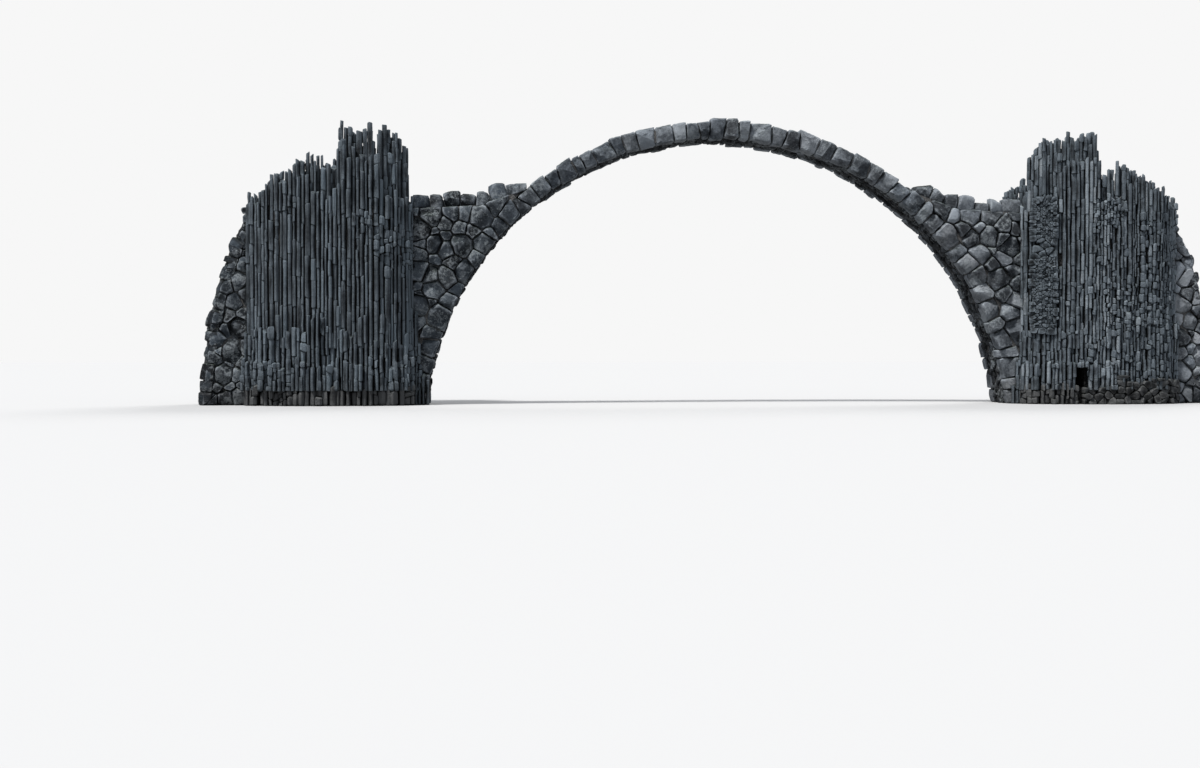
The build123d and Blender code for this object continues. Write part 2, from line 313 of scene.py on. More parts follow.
def grown(seeds, neighbours, reach, gap, limits, least=0.0, unequal=0.0):
    """Each seed with its outline, if that is large enough; limits are lines or give those of a seed."""
    for seed in seeds:
        lines = limits(seed) if callable(limits) else limits
        cell = cell_round(seed, neighbours, reach, gap, lines, unequal)
        if len(cell) > 2 and area_of(cell) >= least:
            yield seed, cell


def scattered(draw, low, high, spacing, allowed, taken=()):
    """Random places at least a spacing apart, inside the box and where allowed."""
    places = []
    tries = int(SCATTER_TRIES * (high[0] - low[0]) * (high[1] - low[1]) / spacing**2)
    for _ in range(tries):
        p = (draw.uniform(low[0], high[0]), draw.uniform(low[1], high[1]))
        if allowed(p) and all(math.dist(p, q) > spacing for q in places + list(taken)):
            places.append(p)
    return places


def value_at(profile, distance):
    """Value of a profile at a distance along it."""
    for (d0, v0), (d1, v1) in zip(profile, profile[1:]):
        if distance <= d1:
            return v0 + (v1 - v0) * max(0, distance - d0) / (d1 - d0)
    return profile[-1][1]


# Elevation of the bridge

def on_arch(radius, angle):
    """A point of the elevation on a circle round the arch's centre."""
    return (radius * math.cos(angle), radius * math.sin(angle) - CENTRE_DROP)


def arch_place(p):
    """Radius and angle of an elevation point round the arch's centre."""
    return (math.hypot(p[0], p[1] + CENTRE_DROP), math.atan2(p[1] + CENTRE_DROP, p[0]))


def deck_height(x):
    """Top of the spandrel masonry at a distance from the crown."""
    x = abs(x)
    bend = BASTION_START - LEVEL_LENGTH
    top = math.sqrt(RING_OUTER**2 - DECK_BREAK**2) - CENTRE_DROP
    if x < DECK_BREAK:
        return math.sqrt(RING_OUTER**2 - x**2) - CENTRE_DROP
    if x < bend:
        return top + (x - DECK_BREAK) / (bend - DECK_BREAK) * (PLATFORM + LEVEL_FALL - top)
    return PLATFORM + LEVEL_FALL * max(0, BASTION_START - x) / LEVEL_LENGTH


def deck_normal(seed):
    """Direction down from the path's line at a seed."""
    step = 0.3
    rise = deck_height(seed[0] + step) - deck_height(seed[0] - step)
    slope = Vector((2 * step, rise)).normalized()
    return (slope.y, -slope.x)


# Master stones

CYLINDER_SWELL = (0.82, 1.14)
MIDDLE_SWELL = (0.95, 1.03)
WORN_EDGE = 0.07
MIDDLE_RINGS = (0.33, 0.7)
LONG_ENDS = (0.09, 0.02)
STUB_ENDS = (0.13, 0.16)
CORNER_DEPTH = (0.84, 0.93)


def block_master(name, cuts, rings):
    """A block of side 2 with a finely meshed front towards -Y, rings round its sides and a plain back."""
    deselect()
    bpy.ops.mesh.primitive_grid_add(
        x_subdivisions=cuts, y_subdivisions=cuts, size=2,
        location=(0, -1, 0), rotation=(math.radians(90), 0, 0),
    )
    block = bpy.context.object
    block.name = name
    bpy.ops.object.transform_apply(location=True, rotation=True)
    edit(block)
    bpy.ops.mesh.extrude_region_move(TRANSFORM_OT_translate={"value": (0, 2, 0)})
    bpy.ops.mesh.dissolve_faces()
    for ring in rings:
        bpy.ops.mesh.select_all(action="SELECT")
        bpy.ops.mesh.bisect(plane_co=(0, ring, 0), plane_no=(0, 1, 0))
    bpy.ops.mesh.select_all(action="SELECT")
    bpy.ops.mesh.normals_make_consistent(inside=False)
    leave_edit()
    return block


def rough_stone_master(name, cuts, chips, draw):
    """A quarried stone in a cube of side 2, its front towards -Y, with some corners knocked off."""
    bpy.ops.mesh.primitive_cube_add(size=2)
    stone = bpy.context.object
    stone.name = name
    edit(stone)
    bpy.ops.mesh.subdivide(number_cuts=cuts)
    for _ in range(chips):
        across = draw.choice((-1, 1))
        outward = -draw.uniform(0.4, 1.1)
        upward = draw.choice((-1, 1)) * draw.uniform(0.4, 1)
        towards = Vector((across, outward, upward))
        reach = sum(abs(c) for c in towards) * draw.uniform(*CORNER_DEPTH)
        bpy.ops.mesh.select_all(action="SELECT")
        bpy.ops.mesh.bisect(
            plane_co=towards * reach / towards.length_squared, plane_no=towards,
            use_fill=True, clear_outer=True,
        )
    leave_edit()
    return stone


def uneven_cylinder(name, sides, draw):
    """A standing cylinder from z = 0 to 1 with few sides, no two corners equally far out."""
    deselect()
    bpy.ops.mesh.primitive_cylinder_add(vertices=sides, radius=0.5, depth=1, location=(0, 0, 0.5))
    column = bpy.context.object
    column.name = name
    bpy.ops.object.transform_apply(location=True)
    swells = [draw.uniform(*CYLINDER_SWELL) for _ in range(sides)]
    for vertex in column.data.vertices:
        turn = math.atan2(vertex.co.x, vertex.co.y) % math.tau
        swell = swells[round(turn / math.tau * sides) % sides]
        vertex.co.x *= swell
        vertex.co.y *= swell
    return column


def select_by(column, wanted_edge=None, wanted_face=None):
    """Selects the edges or the faces of a mesh for which the test holds, and goes into edit mode."""
    select_only(column)
    mesh = column.data
    for items in (mesh.vertices, mesh.edges, mesh.polygons):
        items.foreach_set("select", [False] * len(items))
    bpy.ops.object.mode_set(mode="EDIT")
    bpy.ops.mesh.select_mode(type="EDGE" if wanted_edge else "FACE")
    leave_edit()
    if wanted_edge:
        for edge in mesh.edges:
            edge.select = wanted_edge(*(mesh.vertices[i].co for i in edge.vertices))
    else:
        for face in mesh.polygons:
            face.select = wanted_face(face)
    bpy.ops.object.mode_set(mode="EDIT")


def is_end(face):
    """Whether a face closes a column's foot or top."""
    return abs(face.normal.z) > 0.9


def rounded_ends(column, inset, drop):
    """Insets both ends and draws their rims back, so that the ends are broken round."""
    select_by(column, wanted_face=is_end)
    bpy.ops.mesh.inset(thickness=inset, depth=0.0)
    leave_edit()
    ends = [face for face in column.data.polygons if is_end(face) and len(face.vertices) > 4]
    kept = {i for face in ends for i in face.vertices}
    for vertex in column.data.vertices:
        if vertex.index in kept:
            continue
        if vertex.co.z < 0.01:
            vertex.co.z += drop
        if vertex.co.z > 0.99:
            vertex.co.z -= drop


def column_master(name, sides, draw):
    """A long piece of a basalt column: uneven sides, worn vertical edges, broken ends."""
    column = uneven_cylinder(name, sides, draw)
    select_by(column, wanted_edge=lambda a, b: abs(a.z - b.z) > 0.5)
    bpy.ops.mesh.bevel(offset=WORN_EDGE, segments=1, affect="EDGES")
    for level in MIDDLE_RINGS:
        bpy.ops.mesh.select_all(action="SELECT")
        bpy.ops.mesh.bisect(plane_co=(0, 0, level), plane_no=(0, 0, 1))
    leave_edit()
    for vertex in column.data.vertices:
        if 0.1 < vertex.co.z < 0.9:
            vertex.co.x *= draw.uniform(*MIDDLE_SWELL)
            vertex.co.y *= draw.uniform(*MIDDLE_SWELL)
    rounded_ends(column, *LONG_ENDS)
    return column


def stub_master(name, sides, draw):
    """A short broken piece of a column, no longer than it is wide."""
    column = uneven_cylinder(name, sides, draw)
    rounded_ends(column, *STUB_ENDS)
    return column


MASTER_DRAW = random.Random(11)
FACE_BLOCK = block_master("face_block", 8, (-0.7, 0.3))
SMALL_BLOCK = block_master("small_block", 4, (-0.4,))
ROUGH_STONES = [rough_stone_master(f"rough_stone_{i}", 5, 2, MASTER_DRAW) for i in range(6)]
LONG_PIECES = [column_master(f"column_{i}", (5, 6, 6, 7)[i % 4], MASTER_DRAW) for i in range(8)]
STUBS = [stub_master(f"stub_{i}", (5, 6, 7, 8)[i % 4], MASTER_DRAW) for i in range(8)]


# Shaping stones into their places

FACETS = 3
FACET_START = (0.03, 0.18)
FACET_SLOPE = (0.3, 0.95)
DEEPEST_FALL = 0.125
SOFT_CORNERS = 10
POINT_SPREAD = 0.55
RIM_CHAMFER = 0.028
SMALL_RIM_CHAMFER = 0.008
RIM_SHRINK = 0.07
GRAIN_TURN = 17.0


def rim_distance(edges, middle, direction, sharpness):
    """Distance from the middle to an outline's edges in a direction, with the corners rounded."""
    total = 0
    for edge in edges:
        clear = beyond(edge, middle)
        ahead = -(direction[0] * edge[1][0] + direction[1] * edge[1][1])
        if ahead > 0 and clear > TINY:
            total += (ahead / clear) ** sharpness
    return total ** (-1 / sharpness) if total else 0


def broken_front(draw, tilt):
    """How far a stone's front falls back at a distance from its middle: a tilt and some split facets."""
    lean = (sway(draw, tilt), sway(draw, tilt))
    facets = [
        (draw.uniform(0, math.tau), draw.uniform(*FACET_START), draw.uniform(*FACET_SLOPE))
        for _ in range(FACETS)
    ]

    def fall(du, dv):
        depth = lean[0] * du + lean[1] * dv
        for turn, start, slope in facets:
            depth += slope * max(0, du * math.cos(turn) + dv * math.sin(turn) - start)
        return min(depth, DEEPEST_FALL)

    return fall


def set_in_wall(outline, back, front, fall, axes, sharpness=SOFT_CORNERS, chamfer=RIM_CHAMFER):
    """A mapping of the master, its splits turned, onto an outline from a plain back to a broken front."""
    middle = centre_of(outline)
    edges = outline_lines(outline)
    way = math.copysign(1, front - back)
    grain = Matrix.Rotation(GRAIN_TURN * (middle[0] + middle[1]), 2)

    def place(co):
        square = max(abs(co.x), abs(co.z))
        outward = (1 - co.y) / 2
        at_rim = square > 0.99 and outward > 0.99
        du, dv = 0, 0
        if square > TINY:
            direction = grain @ Vector((co.x, co.z)).normalized()
            reach = rim_distance(edges, middle, direction, sharpness)
            reach *= square**POINT_SPREAD * (1 - RIM_SHRINK * at_rim)
            du, dv = direction.x * reach, direction.y * reach
        depth = back + outward * (front - back)
        depth -= way * outward**2 * (fall(du, dv) + chamfer * at_rim)
        return axes(middle[0] + du, middle[1] + dv, depth)

    return place


def in_elevation(u, v, depth):
    """Outline in X and Z, depth along Y."""
    return Vector((u, depth, v))


def in_plan(u, v, depth):
    """Outline in X and Y, depth along Z."""
    return Vector((u, v, depth))


def on_slope(u, v, depth):
    """Outline in X and Y, depth up from the path's line."""
    return Vector((u, v, deck_height(u) + depth))


def round_arch(u, v, depth):
    """Outline along the arch and across it, depth as the distance from the arch's centre."""
    x, z = on_arch(depth, u / RADIUS)
    return Vector((x, v, z))


def facing_out(face, mapping):
    """The mapping with the master turned over for the back face, so that its faces still point out."""
    if face < 0:
        return mapping
    return lambda co: mapping(Vector((-co.x, co.y, co.z)))


# Parts of materials

def feed(tree, socket, source):
    """Feeds a socket from another one, or sets it to a number or a colour."""
    if isinstance(source, (int, float)):
        socket.default_value = source
    elif isinstance(source, tuple):
        socket.default_value = (*source, 1)
    else:
        tree.links.new(source, socket)


def node_of(tree, kind, **sockets):
    """A node with some of its input sockets set."""
    node = tree.nodes.new(kind)
    for name, value in sockets.items():
        node.inputs[name].default_value = value
    return node


def new_group(name, numbers, outputs):
    """An empty node group with a Coordinate input, number inputs and number outputs."""
    group = bpy.data.node_groups.new(name, "ShaderNodeTree")
    group.interface.new_socket("Coordinate", in_out="INPUT", socket_type="NodeSocketVector")
    for label, default in numbers.items():
        socket = group.interface.new_socket(label, in_out="INPUT", socket_type="NodeSocketFloat")
        socket.default_value = default
    for label in outputs:
        group.interface.new_socket(label, in_out="OUTPUT", socket_type="NodeSocketFloat")
    start = group.nodes.new("NodeGroupInput")
    end = group.nodes.new("NodeGroupOutput")
    return group, start.outputs, end.inputs


def math_node(tree, operation, *operands):
    """A Math node; each operand is a socket or a number."""
    node = tree.nodes.new("ShaderNodeMath")
    node.operation = operation
    for socket, operand in zip(node.inputs, operands):
        feed(tree, socket, operand)
    return node.outputs[0]


def plus(tree, first, second):
    """A sum."""
    return math_node(tree, "ADD", first, second)


def minus(tree, first, second):
    """A difference."""
    return math_node(tree, "SUBTRACT", first, second)


def times(tree, first, second):
    """A product."""
    return math_node(tree, "MULTIPLY", first, second)


def noise_value(tree, coordinate, scale, detail=6, roughness=0.6, distortion=0.0):
    """A noise's value at a coordinate; scale is a socket or a number."""
    texture = node_of(tree, "ShaderNodeTexNoise", Detail=detail, Roughness=roughness, Distortion=distortion)
    tree.links.new(coordinate, texture.inputs["Vector"])
    feed(tree, texture.inputs["Scale"], scale)
    return texture.outputs["Fac"]


def stretched(tree, coordinate, along, across):
    """The coordinate scaled by its own factors across X and Y and along Z."""
    mapping = tree.nodes.new("ShaderNodeMapping")
    mapping.inputs["Scale"].default_value = (across, across, along)
    tree.links.new(coordinate, mapping.inputs["Vector"])
    return mapping.outputs["Vector"]


def axis_of(tree, vector, axis):
    """One coordinate of a vector."""
    parts = tree.nodes.new("ShaderNodeSeparateXYZ")
    tree.links.new(vector, parts.inputs["Vector"])
    return parts.outputs[axis]


def ramp_value(tree, value, low, high):
    """A value spread smoothly from 0 at low to 1 at high."""
    spread = tree.nodes.new("ShaderNodeMapRange")
    spread.interpolation_type = "SMOOTHSTEP"
    tree.links.new(value, spread.inputs["Value"])
    feed(tree, spread.inputs["From Min"], low)
    feed(tree, spread.inputs["From Max"], high)
    return spread.outputs["Result"]


def falling_value(tree, value, low, high):
    """A value spread smoothly from 1 at low to 0 at high."""
    return minus(tree, 1.0, ramp_value(tree, value, low, high))


def mixed(tree, factor, first, second, amount=1.0, mode="MIX"):
    """One colour over another where the factor's mask is; each colour is a socket or a triple."""
    mix = tree.nodes.new("ShaderNodeMix")
    mix.data_type = "RGBA"
    mix.blend_type = mode
    strength = times(tree, factor, amount) if amount != 1.0 else factor
    tree.links.new(strength, mix.inputs["Factor"])
    feed(tree, mix.inputs["A"], first)
    feed(tree, mix.inputs["B"], second)
    return mix.outputs["Result"]


def shade_ramp(tree, value, shades):
    """A colour ramp through the shades, evenly spaced."""
    ramp = tree.nodes.new("ShaderNodeValToRGB")
    elements = ramp.color_ramp.elements
    while len(elements) < len(shades):
        elements.new(0.5)
    for i, shade in enumerate(shades):
        elements[i].position = 0.3 + 0.4 * i / (len(shades) - 1)
        elements[i].color = (*shade, 1)
    tree.links.new(value, ramp.inputs["Fac"])
    return ramp.outputs["Color"]


def facing_up(tree, coordinate):
    """Mask of surfaces that face up, broken by noise, where dust and moss settle."""
    up = axis_of(tree, tree.nodes.new("ShaderNodeNewGeometry").outputs["Normal"], "Z")
    loose = times(tree, noise_value(tree, coordinate, 2.2), 1.4)
    return ramp_value(tree, times(tree, up, loose), 0.3, 0.8)


# Shared effects

def mottle_group():
    """Cloudy light and dark of stone at three sizes."""
    group, given, result = new_group("stone_mottle", {"Scale": 2.0}, ["Value"])
    at = given["Coordinate"]
    broad = noise_value(group, at, given["Scale"], detail=3)
    fine = noise_value(group, at, times(group, given["Scale"], 6.5), detail=8, roughness=0.7)
    both = plus(group, times(group, broad, 0.45), times(group, fine, 0.55))
    group.links.new(both, result["Value"])
    return group


def lichen_group():
    """Crusts of lichen: ragged specks that gather in larger patches."""
    group, given, result = new_group("lichen_crust", {"Scale": 9.0, "Cover": 0.5}, ["Mask"])
    at = given["Coordinate"]
    specks = noise_value(group, at, given["Scale"], detail=10, roughness=0.8)
    patches = noise_value(group, at, 1.2, detail=4)
    level = plus(group, specks, times(group, patches, 0.7))
    limit = minus(group, 1.12, times(group, given["Cover"], 0.4))
    group.links.new(ramp_value(group, minus(group, level, limit), 0.0, 0.10), result["Mask"])
    return group


def grain_group():
    """Relief of broken stone: pits, small ridges and streaks drawn out along Z."""
    group, given, result = new_group("broken_grain", {"Scale": 5.0, "Streak": 0.0}, ["Height"])
    at = given["Coordinate"]
    lumps = noise_value(group, at, given["Scale"], detail=10, roughness=0.72, distortion=0.3)
    streaks = noise_value(group, stretched(group, at, 0.7, 17.0), 1.0, detail=5)
    pits = node_of(group, "ShaderNodeTexVoronoi", Scale=26.0)
    group.links.new(at, pits.inputs["Vector"])
    relief = plus(group, lumps, times(group, pits.outputs["Distance"], 0.25))
    drawn_out = times(group, streaks, given["Streak"])
    group.links.new(plus(group, relief, drawn_out), result["Height"])
    return group


def rubble_group():
    """Small packed stones: a shade for each and dark gaps between them."""
    group, given, result = new_group("packed_rubble", {"Scale": 12.0}, ["Shade", "Gap"])
    at = given["Coordinate"]
    wobble = node_of(group, "ShaderNodeTexNoise", Scale=6.0, Detail=3)
    group.links.new(at, wobble.inputs["Vector"])
    warp = group.nodes.new("ShaderNodeVectorMath")
    warp.operation = "MULTIPLY_ADD"
    warp.inputs[1].default_value = (0.12, 0.12, 0.12)
    group.links.new(wobble.outputs["Color"], warp.inputs[0])
    group.links.new(at, warp.inputs[2])

    def cells(feature):
        texture = group.nodes.new("ShaderNodeTexVoronoi")
        texture.feature = feature
        group.links.new(warp.outputs["Vector"], texture.inputs["Vector"])
        group.links.new(given["Scale"], texture.inputs["Scale"])
        return texture.outputs

    group.links.new(cells("F1")["Color"], result["Shade"])
    gap = falling_value(group, cells("DISTANCE_TO_EDGE")["Distance"], 0.02, 0.16)
    group.links.new(gap, result["Gap"])
    return group


def water_group():
    """Mask of the damp band over the water line, with an uneven upper edge."""
    group, given, result = new_group("damp_band", {"Height": 0.9, "Fade": 0.6}, ["Mask"])
    at = given["Coordinate"]
    uneven = times(group, noise_value(group, at, 1.1, detail=5), given["Fade"])
    edge = plus(group, axis_of(group, at, "Z"), uneven)
    top = plus(group, given["Height"], given["Fade"])
    group.links.new(falling_value(group, edge, given["Height"], top), result["Mask"])
    return group


def edge_group():
    """Masks of standing edges, paler from wear and a painted highlight, of sunken ones for painted shade,
    and of painted shade deep in the joints, from occlusion.
    """
    numbers = {"Start": 0.02, "Spread": 0.06}
    group, given, result = new_group("stone_edges", numbers, ["Worn", "Sunken", "Painted_Joint_Shade"])
    point = group.nodes.new("ShaderNodeNewGeometry").outputs["Pointiness"]
    broken = times(group, noise_value(group, given["Coordinate"], 7.0), 0.03)
    level = plus(group, point, minus(group, broken, 0.015))
    flat = 0.5
    first = plus(group, given["Start"], flat)
    # Standing edges: wear, and a painted highlight along each one
    wear_and_highlight = ramp_value(group, level, first, plus(group, first, given["Spread"]))
    group.links.new(wear_and_highlight, result["Worn"])
    # Sunken edges: where painted shade goes in the hollows
    shallow = flat - 0.005
    sunken = falling_value(group, level, minus(group, shallow, given["Spread"]), shallow)
    group.links.new(sunken, result["Sunken"])
    # Occlusion: where painted shade goes deep in the joints and in the gaps between stones
    shut_in = node_of(group, "ShaderNodeAmbientOcclusion", Distance=0.16)
    shut_in.samples = 6
    group.links.new(falling_value(group, shut_in.outputs["AO"], 0.15, 0.85), result["Painted_Joint_Shade"])
    return group


GROUPS = {
    "mottle": mottle_group(), "lichen": lichen_group(), "grain": grain_group(),
    "water": water_group(), "edges": edge_group(), "rubble": rubble_group(),
}


def use_group(tree, key, coordinate, **numbers):
    """Outputs of a node group placed in a material with its own values."""
    node = tree.nodes.new("ShaderNodeGroup")
    node.node_tree = GROUPS[key]
    tree.links.new(coordinate, node.inputs["Coordinate"])
    for name, value in numbers.items():
        node.inputs[name].default_value = value
    return node.outputs


# Materials

# The left end stands in the shade: where along X that begins, where it ends, and its tint
SHADE_RANGE = (-10.5, 3.0)
SHADED_END = (0.38, 0.43, 0.46)
RUBBLE_GAPS = (0.012, 0.012, 0.011)
# Painted shade: the colours for sunken hollows and for deep in the joints
SUNKEN_EDGE_SHADE = (0.012, 0.012, 0.013)
PAINTED_JOINT_SHADE = (0.004, 0.0045, 0.005)
BROWN_TINT = (1.0, 0.89, 0.80)
DAMP_TINT = (0.60, 0.585, 0.57)
RUBBLE_TONES = 0.35
BROWN_SPREAD = 7.3


def own_shade(tree, at, tone, tone_spread, bleach):
    """How much lighter or darker a stone is: its own tone, and wide bleached fields."""
    own = times(tree, minus(tree, tone, 0.5), tone_spread)
    if bleach:
        field = noise_value(tree, stretched(tree, at, 0.28, 0.5), 1.0, detail=3)
        bleached = minus(tree, ramp_value(tree, field, 0.38, 0.66), 0.5)
        own = plus(tree, own, times(tree, bleached, bleach))
    return own


def aged_and_shaded(tree, at, colour, tone, wear_and_highlight, lichen, lichen_cover, moss, far_end):
    """The colour with its tints, the painted shade of the left end, edges paler from wear and a painted
    highlight, painted shade in hollows and deep in the joints, lichen and moss.
    """
    brown = math_node(tree, "FRACT", times(tree, tone, BROWN_SPREAD))
    colour = mixed(tree, brown, colour, BROWN_TINT, 0.55, "MULTIPLY")
    # Painted shade over the left end, deepening along X
    shaded = falling_value(tree, axis_of(tree, at, "X"), *SHADE_RANGE)
    colour = mixed(tree, shaded, colour, far_end, 1.0, "MULTIPLY")
    edges = use_group(tree, "edges", at, Start=0.02, Spread=0.06)
    # Paler standing edges: wear, and a painted highlight
    colour = mixed(tree, edges["Worn"], colour, wear_and_highlight, 0.7)
    # Painted shade in sunken hollows
    colour = mixed(tree, edges["Sunken"], colour, SUNKEN_EDGE_SHADE, 0.75)
    # Painted shade deep in the joints
    colour = mixed(tree, edges["Painted_Joint_Shade"], colour, PAINTED_JOINT_SHADE, 0.85)
    crust = use_group(tree, "lichen", at, Scale=9.0, Cover=lichen_cover)["Mask"]
    colour = mixed(tree, crust, colour, lichen, 0.6)
    return mixed(tree, facing_up(tree, at), colour, moss, 0.45)


def stone_material(name, shades, lichen, lichen_cover, moss, wear_and_highlight, grain_scale, bump=1.0,
                   tone_spread=0.0, streak=0.0, bleach=0.0, rubble=0.0, far_end=SHADED_END):
    """Weathered stone: mottled shades, a tone for each stone or bit of rubble, age with painted shade and
    highlight, and a damp foot.
    """
    material = bpy.data.materials.new(name)
    material.use_nodes = True
    tree = material.node_tree
    shader = tree.nodes["Principled BSDF"]
    at = tree.nodes.new("ShaderNodeTexCoord").outputs["Object"]
    attribute = tree.nodes.new("ShaderNodeAttribute")
    attribute.attribute_name = "tone"
    tone = attribute.outputs["Fac"]
    mottle = use_group(tree, "mottle", at, Scale=1.7)["Value"]
    height = use_group(tree, "grain", at, Scale=grain_scale, Streak=streak)["Height"]
    body = mottle
    if streak:
        streaks = noise_value(tree, stretched(tree, at, 0.5, 11.0), 1.0, detail=4)
        body = plus(tree, times(tree, mottle, 0.55), times(tree, streaks, 0.45))
    if rubble:
        packed = use_group(tree, "rubble", at, Scale=rubble)
        own = times(tree, minus(tree, packed["Shade"], 0.5), RUBBLE_TONES)
        colour = shade_ramp(tree, plus(tree, body, own), shades)
        colour = mixed(tree, packed["Gap"], colour, RUBBLE_GAPS, 0.85)
        height = minus(tree, height, packed["Gap"])
    else:
        own = own_shade(tree, at, tone, tone_spread, bleach)
        colour = shade_ramp(tree, plus(tree, body, own), shades)
    colour = aged_and_shaded(tree, at, colour, tone, wear_and_highlight, lichen, lichen_cover, moss, far_end)
    damp = use_group(tree, "water", at, Height=0.75, Fade=0.7)["Mask"]
    colour = mixed(tree, damp, colour, DAMP_TINT, 0.8, "MULTIPLY")
    tree.links.new(colour, shader.inputs["Base Color"])
    dryness = math_node(tree, "MULTIPLY_ADD", mottle, 0.25, 0.68)
    tree.links.new(minus(tree, dryness, times(tree, damp, 0.3)), shader.inputs["Roughness"])
    relief = node_of(tree, "ShaderNodeBump", Strength=bump, Distance=0.05)
    tree.links.new(height, relief.inputs["Height"])
    tree.links.new(relief.outputs["Normal"], shader.inputs["Normal"])
    shader.inputs["Specular IOR Level"].default_value = 0.35
    return material


def boulder_material():
    """Dark grey-brown boulders with pale lichen."""
    shades = [(0.032, 0.0375, 0.044), (0.084, 0.0965, 0.110), (0.198, 0.223, 0.250), (0.390, 0.430, 0.470)]
    return stone_material(
        "boulder_stone", shades, tone_spread=0.44, lichen=(0.36, 0.39, 0.40), lichen_cover=0.62,
        moss=(0.038, 0.056, 0.034), wear_and_highlight=(0.34, 0.37, 0.40), grain_scale=4.5, bleach=0.20,
        # The left end's painted shade is deeper on the boulders
        far_end=(0.22, 0.25, 0.275),
    )


def column_material():
    """Blue-grey basalt columns with light streaks."""
    shades = [(0.0047, 0.0060, 0.0074), (0.0158, 0.0194, 0.0232),
              (0.053, 0.0635, 0.0740), (0.370, 0.420, 0.458)]
    return stone_material(
        "column_stone", shades, tone_spread=0.74, lichen=(0.27, 0.31, 0.33), lichen_cover=0.2,
        moss=(0.038, 0.054, 0.036), wear_and_highlight=(0.205, 0.242, 0.272), grain_scale=6.0, streak=0.8, bleach=0.30,
    )


def plinth_material():
    """Damp basalt at the water line, browner than the columns over it."""
    shades = [(0.0062, 0.0067, 0.0072), (0.0185, 0.0198, 0.0210),
              (0.046, 0.049, 0.052), (0.120, 0.126, 0.132)]
    return stone_material(
        "plinth_stone", shades, tone_spread=0.32, lichen=(0.24, 0.24, 0.21), lichen_cover=0.2,
        moss=(0.036, 0.044, 0.024), wear_and_highlight=(0.20, 0.205, 0.205), grain_scale=5.0, streak=0.5, bump=0.9,
        # The left end's painted shade is lighter on the plinth
        far_end=(0.80, 0.82, 0.83),
    )


def path_material():
    """Worn walking stones, a little paler and dusty."""
    shades = [(0.036, 0.0375, 0.039), (0.078, 0.081, 0.084), (0.140, 0.145, 0.149), (0.230, 0.236, 0.240)]
    return stone_material(
        "path_stone", shades, tone_spread=0.4, lichen=(0.26, 0.28, 0.26), lichen_cover=0.3,
        moss=(0.062, 0.070, 0.050), wear_and_highlight=(0.26, 0.27, 0.27), grain_scale=7.0,
    )


def mortar_material():
    """Rough lime mortar and rubble between the stones, grey, dark in the gaps between the bits of rubble,
    with painted shade deep in the joints.
    """
    shades = [(0.008, 0.0088, 0.0096), (0.024, 0.0262, 0.0285),
              (0.064, 0.0695, 0.0745), (0.160, 0.170, 0.180)]
    return stone_material(
        "joint_mortar", shades, lichen=(0.26, 0.27, 0.25), lichen_cover=0.2,
        moss=(0.040, 0.050, 0.026), wear_and_highlight=(0.24, 0.23, 0.22), grain_scale=9.0, bump=0.9, rubble=13.0,
    )


def core_material():
    """Dark packed rubble inside the bastions, behind the columns."""
    shades = [(0.006, 0.006, 0.006), (0.014, 0.0135, 0.013), (0.030, 0.029, 0.028), (0.055, 0.054, 0.052)]
    return stone_material(
        "core_rubble", shades, lichen=(0.06, 0.065, 0.06), lichen_cover=0.1,
        moss=(0.018, 0.022, 0.012), wear_and_highlight=(0.06, 0.058, 0.055), grain_scale=7.0, bump=0.9, rubble=7.0,
    )


BOULDER = boulder_material()
COLUMN = column_material()
PLINTH = plinth_material()
PATH = path_material()
MORTAR = mortar_material()
CORE = core_material()


# Stones with mortar behind them

STONE_SMOOTH = 17
LUMP_SIZE = 0.30
LUMP_RELIEF = 0.045
PIT_SIZE = 0.10
PIT_RELIEF = 0.036


def weathered(rock, name):
    """Uneven faces of split stone: broad lumps and small pits."""
    roughened(rock, name + "_lumps", LUMP_SIZE, LUMP_RELIEF)
    roughened(rock, name + "_pits", PIT_SIZE, PIT_RELIEF)


def mortar_block(outline, half):
    """A plain block on an elevation outline, half its depth to either side of the middle plane."""
    deselect()
    bpy.ops.mesh.primitive_circle_add(vertices=len(outline), radius=1, fill_type="NGON")
    block = bpy.context.object
    for vertex, (x, z) in zip(block.data.vertices, outline):
        vertex.co = (x, -half, z)
    edit(block)
    bpy.ops.mesh.extrude_region_move(TRANSFORM_OT_translate={"value": (0, 2 * half, 0)})
    bpy.ops.mesh.select_all(action="SELECT")
    bpy.ops.mesh.normals_make_consistent(inside=False)
    leave_edit()
    give_tone(block.data, 0.0)
    return block


def with_mortar(name, stones, bed):
    """Stones and their bed of mortar in one object, the mortar with the second material."""
    rock = joined(name, stones)
    rock.data.materials.clear()
    rock.data.materials.append(BOULDER)
    weathered(rock, name)
    bed.data.materials.append(MORTAR)
    return joined(name, [rock, bed])


# Arch ring and spandrels

JOINT = 0.022
FACE_STONE_DEPTH = (0.32, 0.5)
FACE_TILT = 0.22
BOULDER_SPACING = 0.385
BOULDER_REACH = 0.9
BOULDER_PROUD = (0.16, 0.25)
BOULDER_SHARPNESS = (14, 34)
UNEQUAL_BOULDERS = 0.11
LEAST_BOULDER = 0.02
EDGE_CLEARANCE = 0.15

RING_LENGTHS = (0.38, 0.76)
RING_SWAY = 0.10
RING_PROUD = (0.09, 0.16)
RING_SHARPNESS = 26
RING_TONES = (0.4, 1.0)
RING_UNDER_PLAY = (-0.03, 0.06)
RING_UNDER_TILT = 0.09
RING_TOP_PLAY = (-0.06, 0.1)
RING_TOP_TILT = 0.1
KEYSTONE_REACH = 2.6
KEYSTONE_RISE = 0.18
COVERED_RISE = 0.6
CAD_TOP_RADIUS = cad_box[1].z + CENTRE_DROP - 0.06

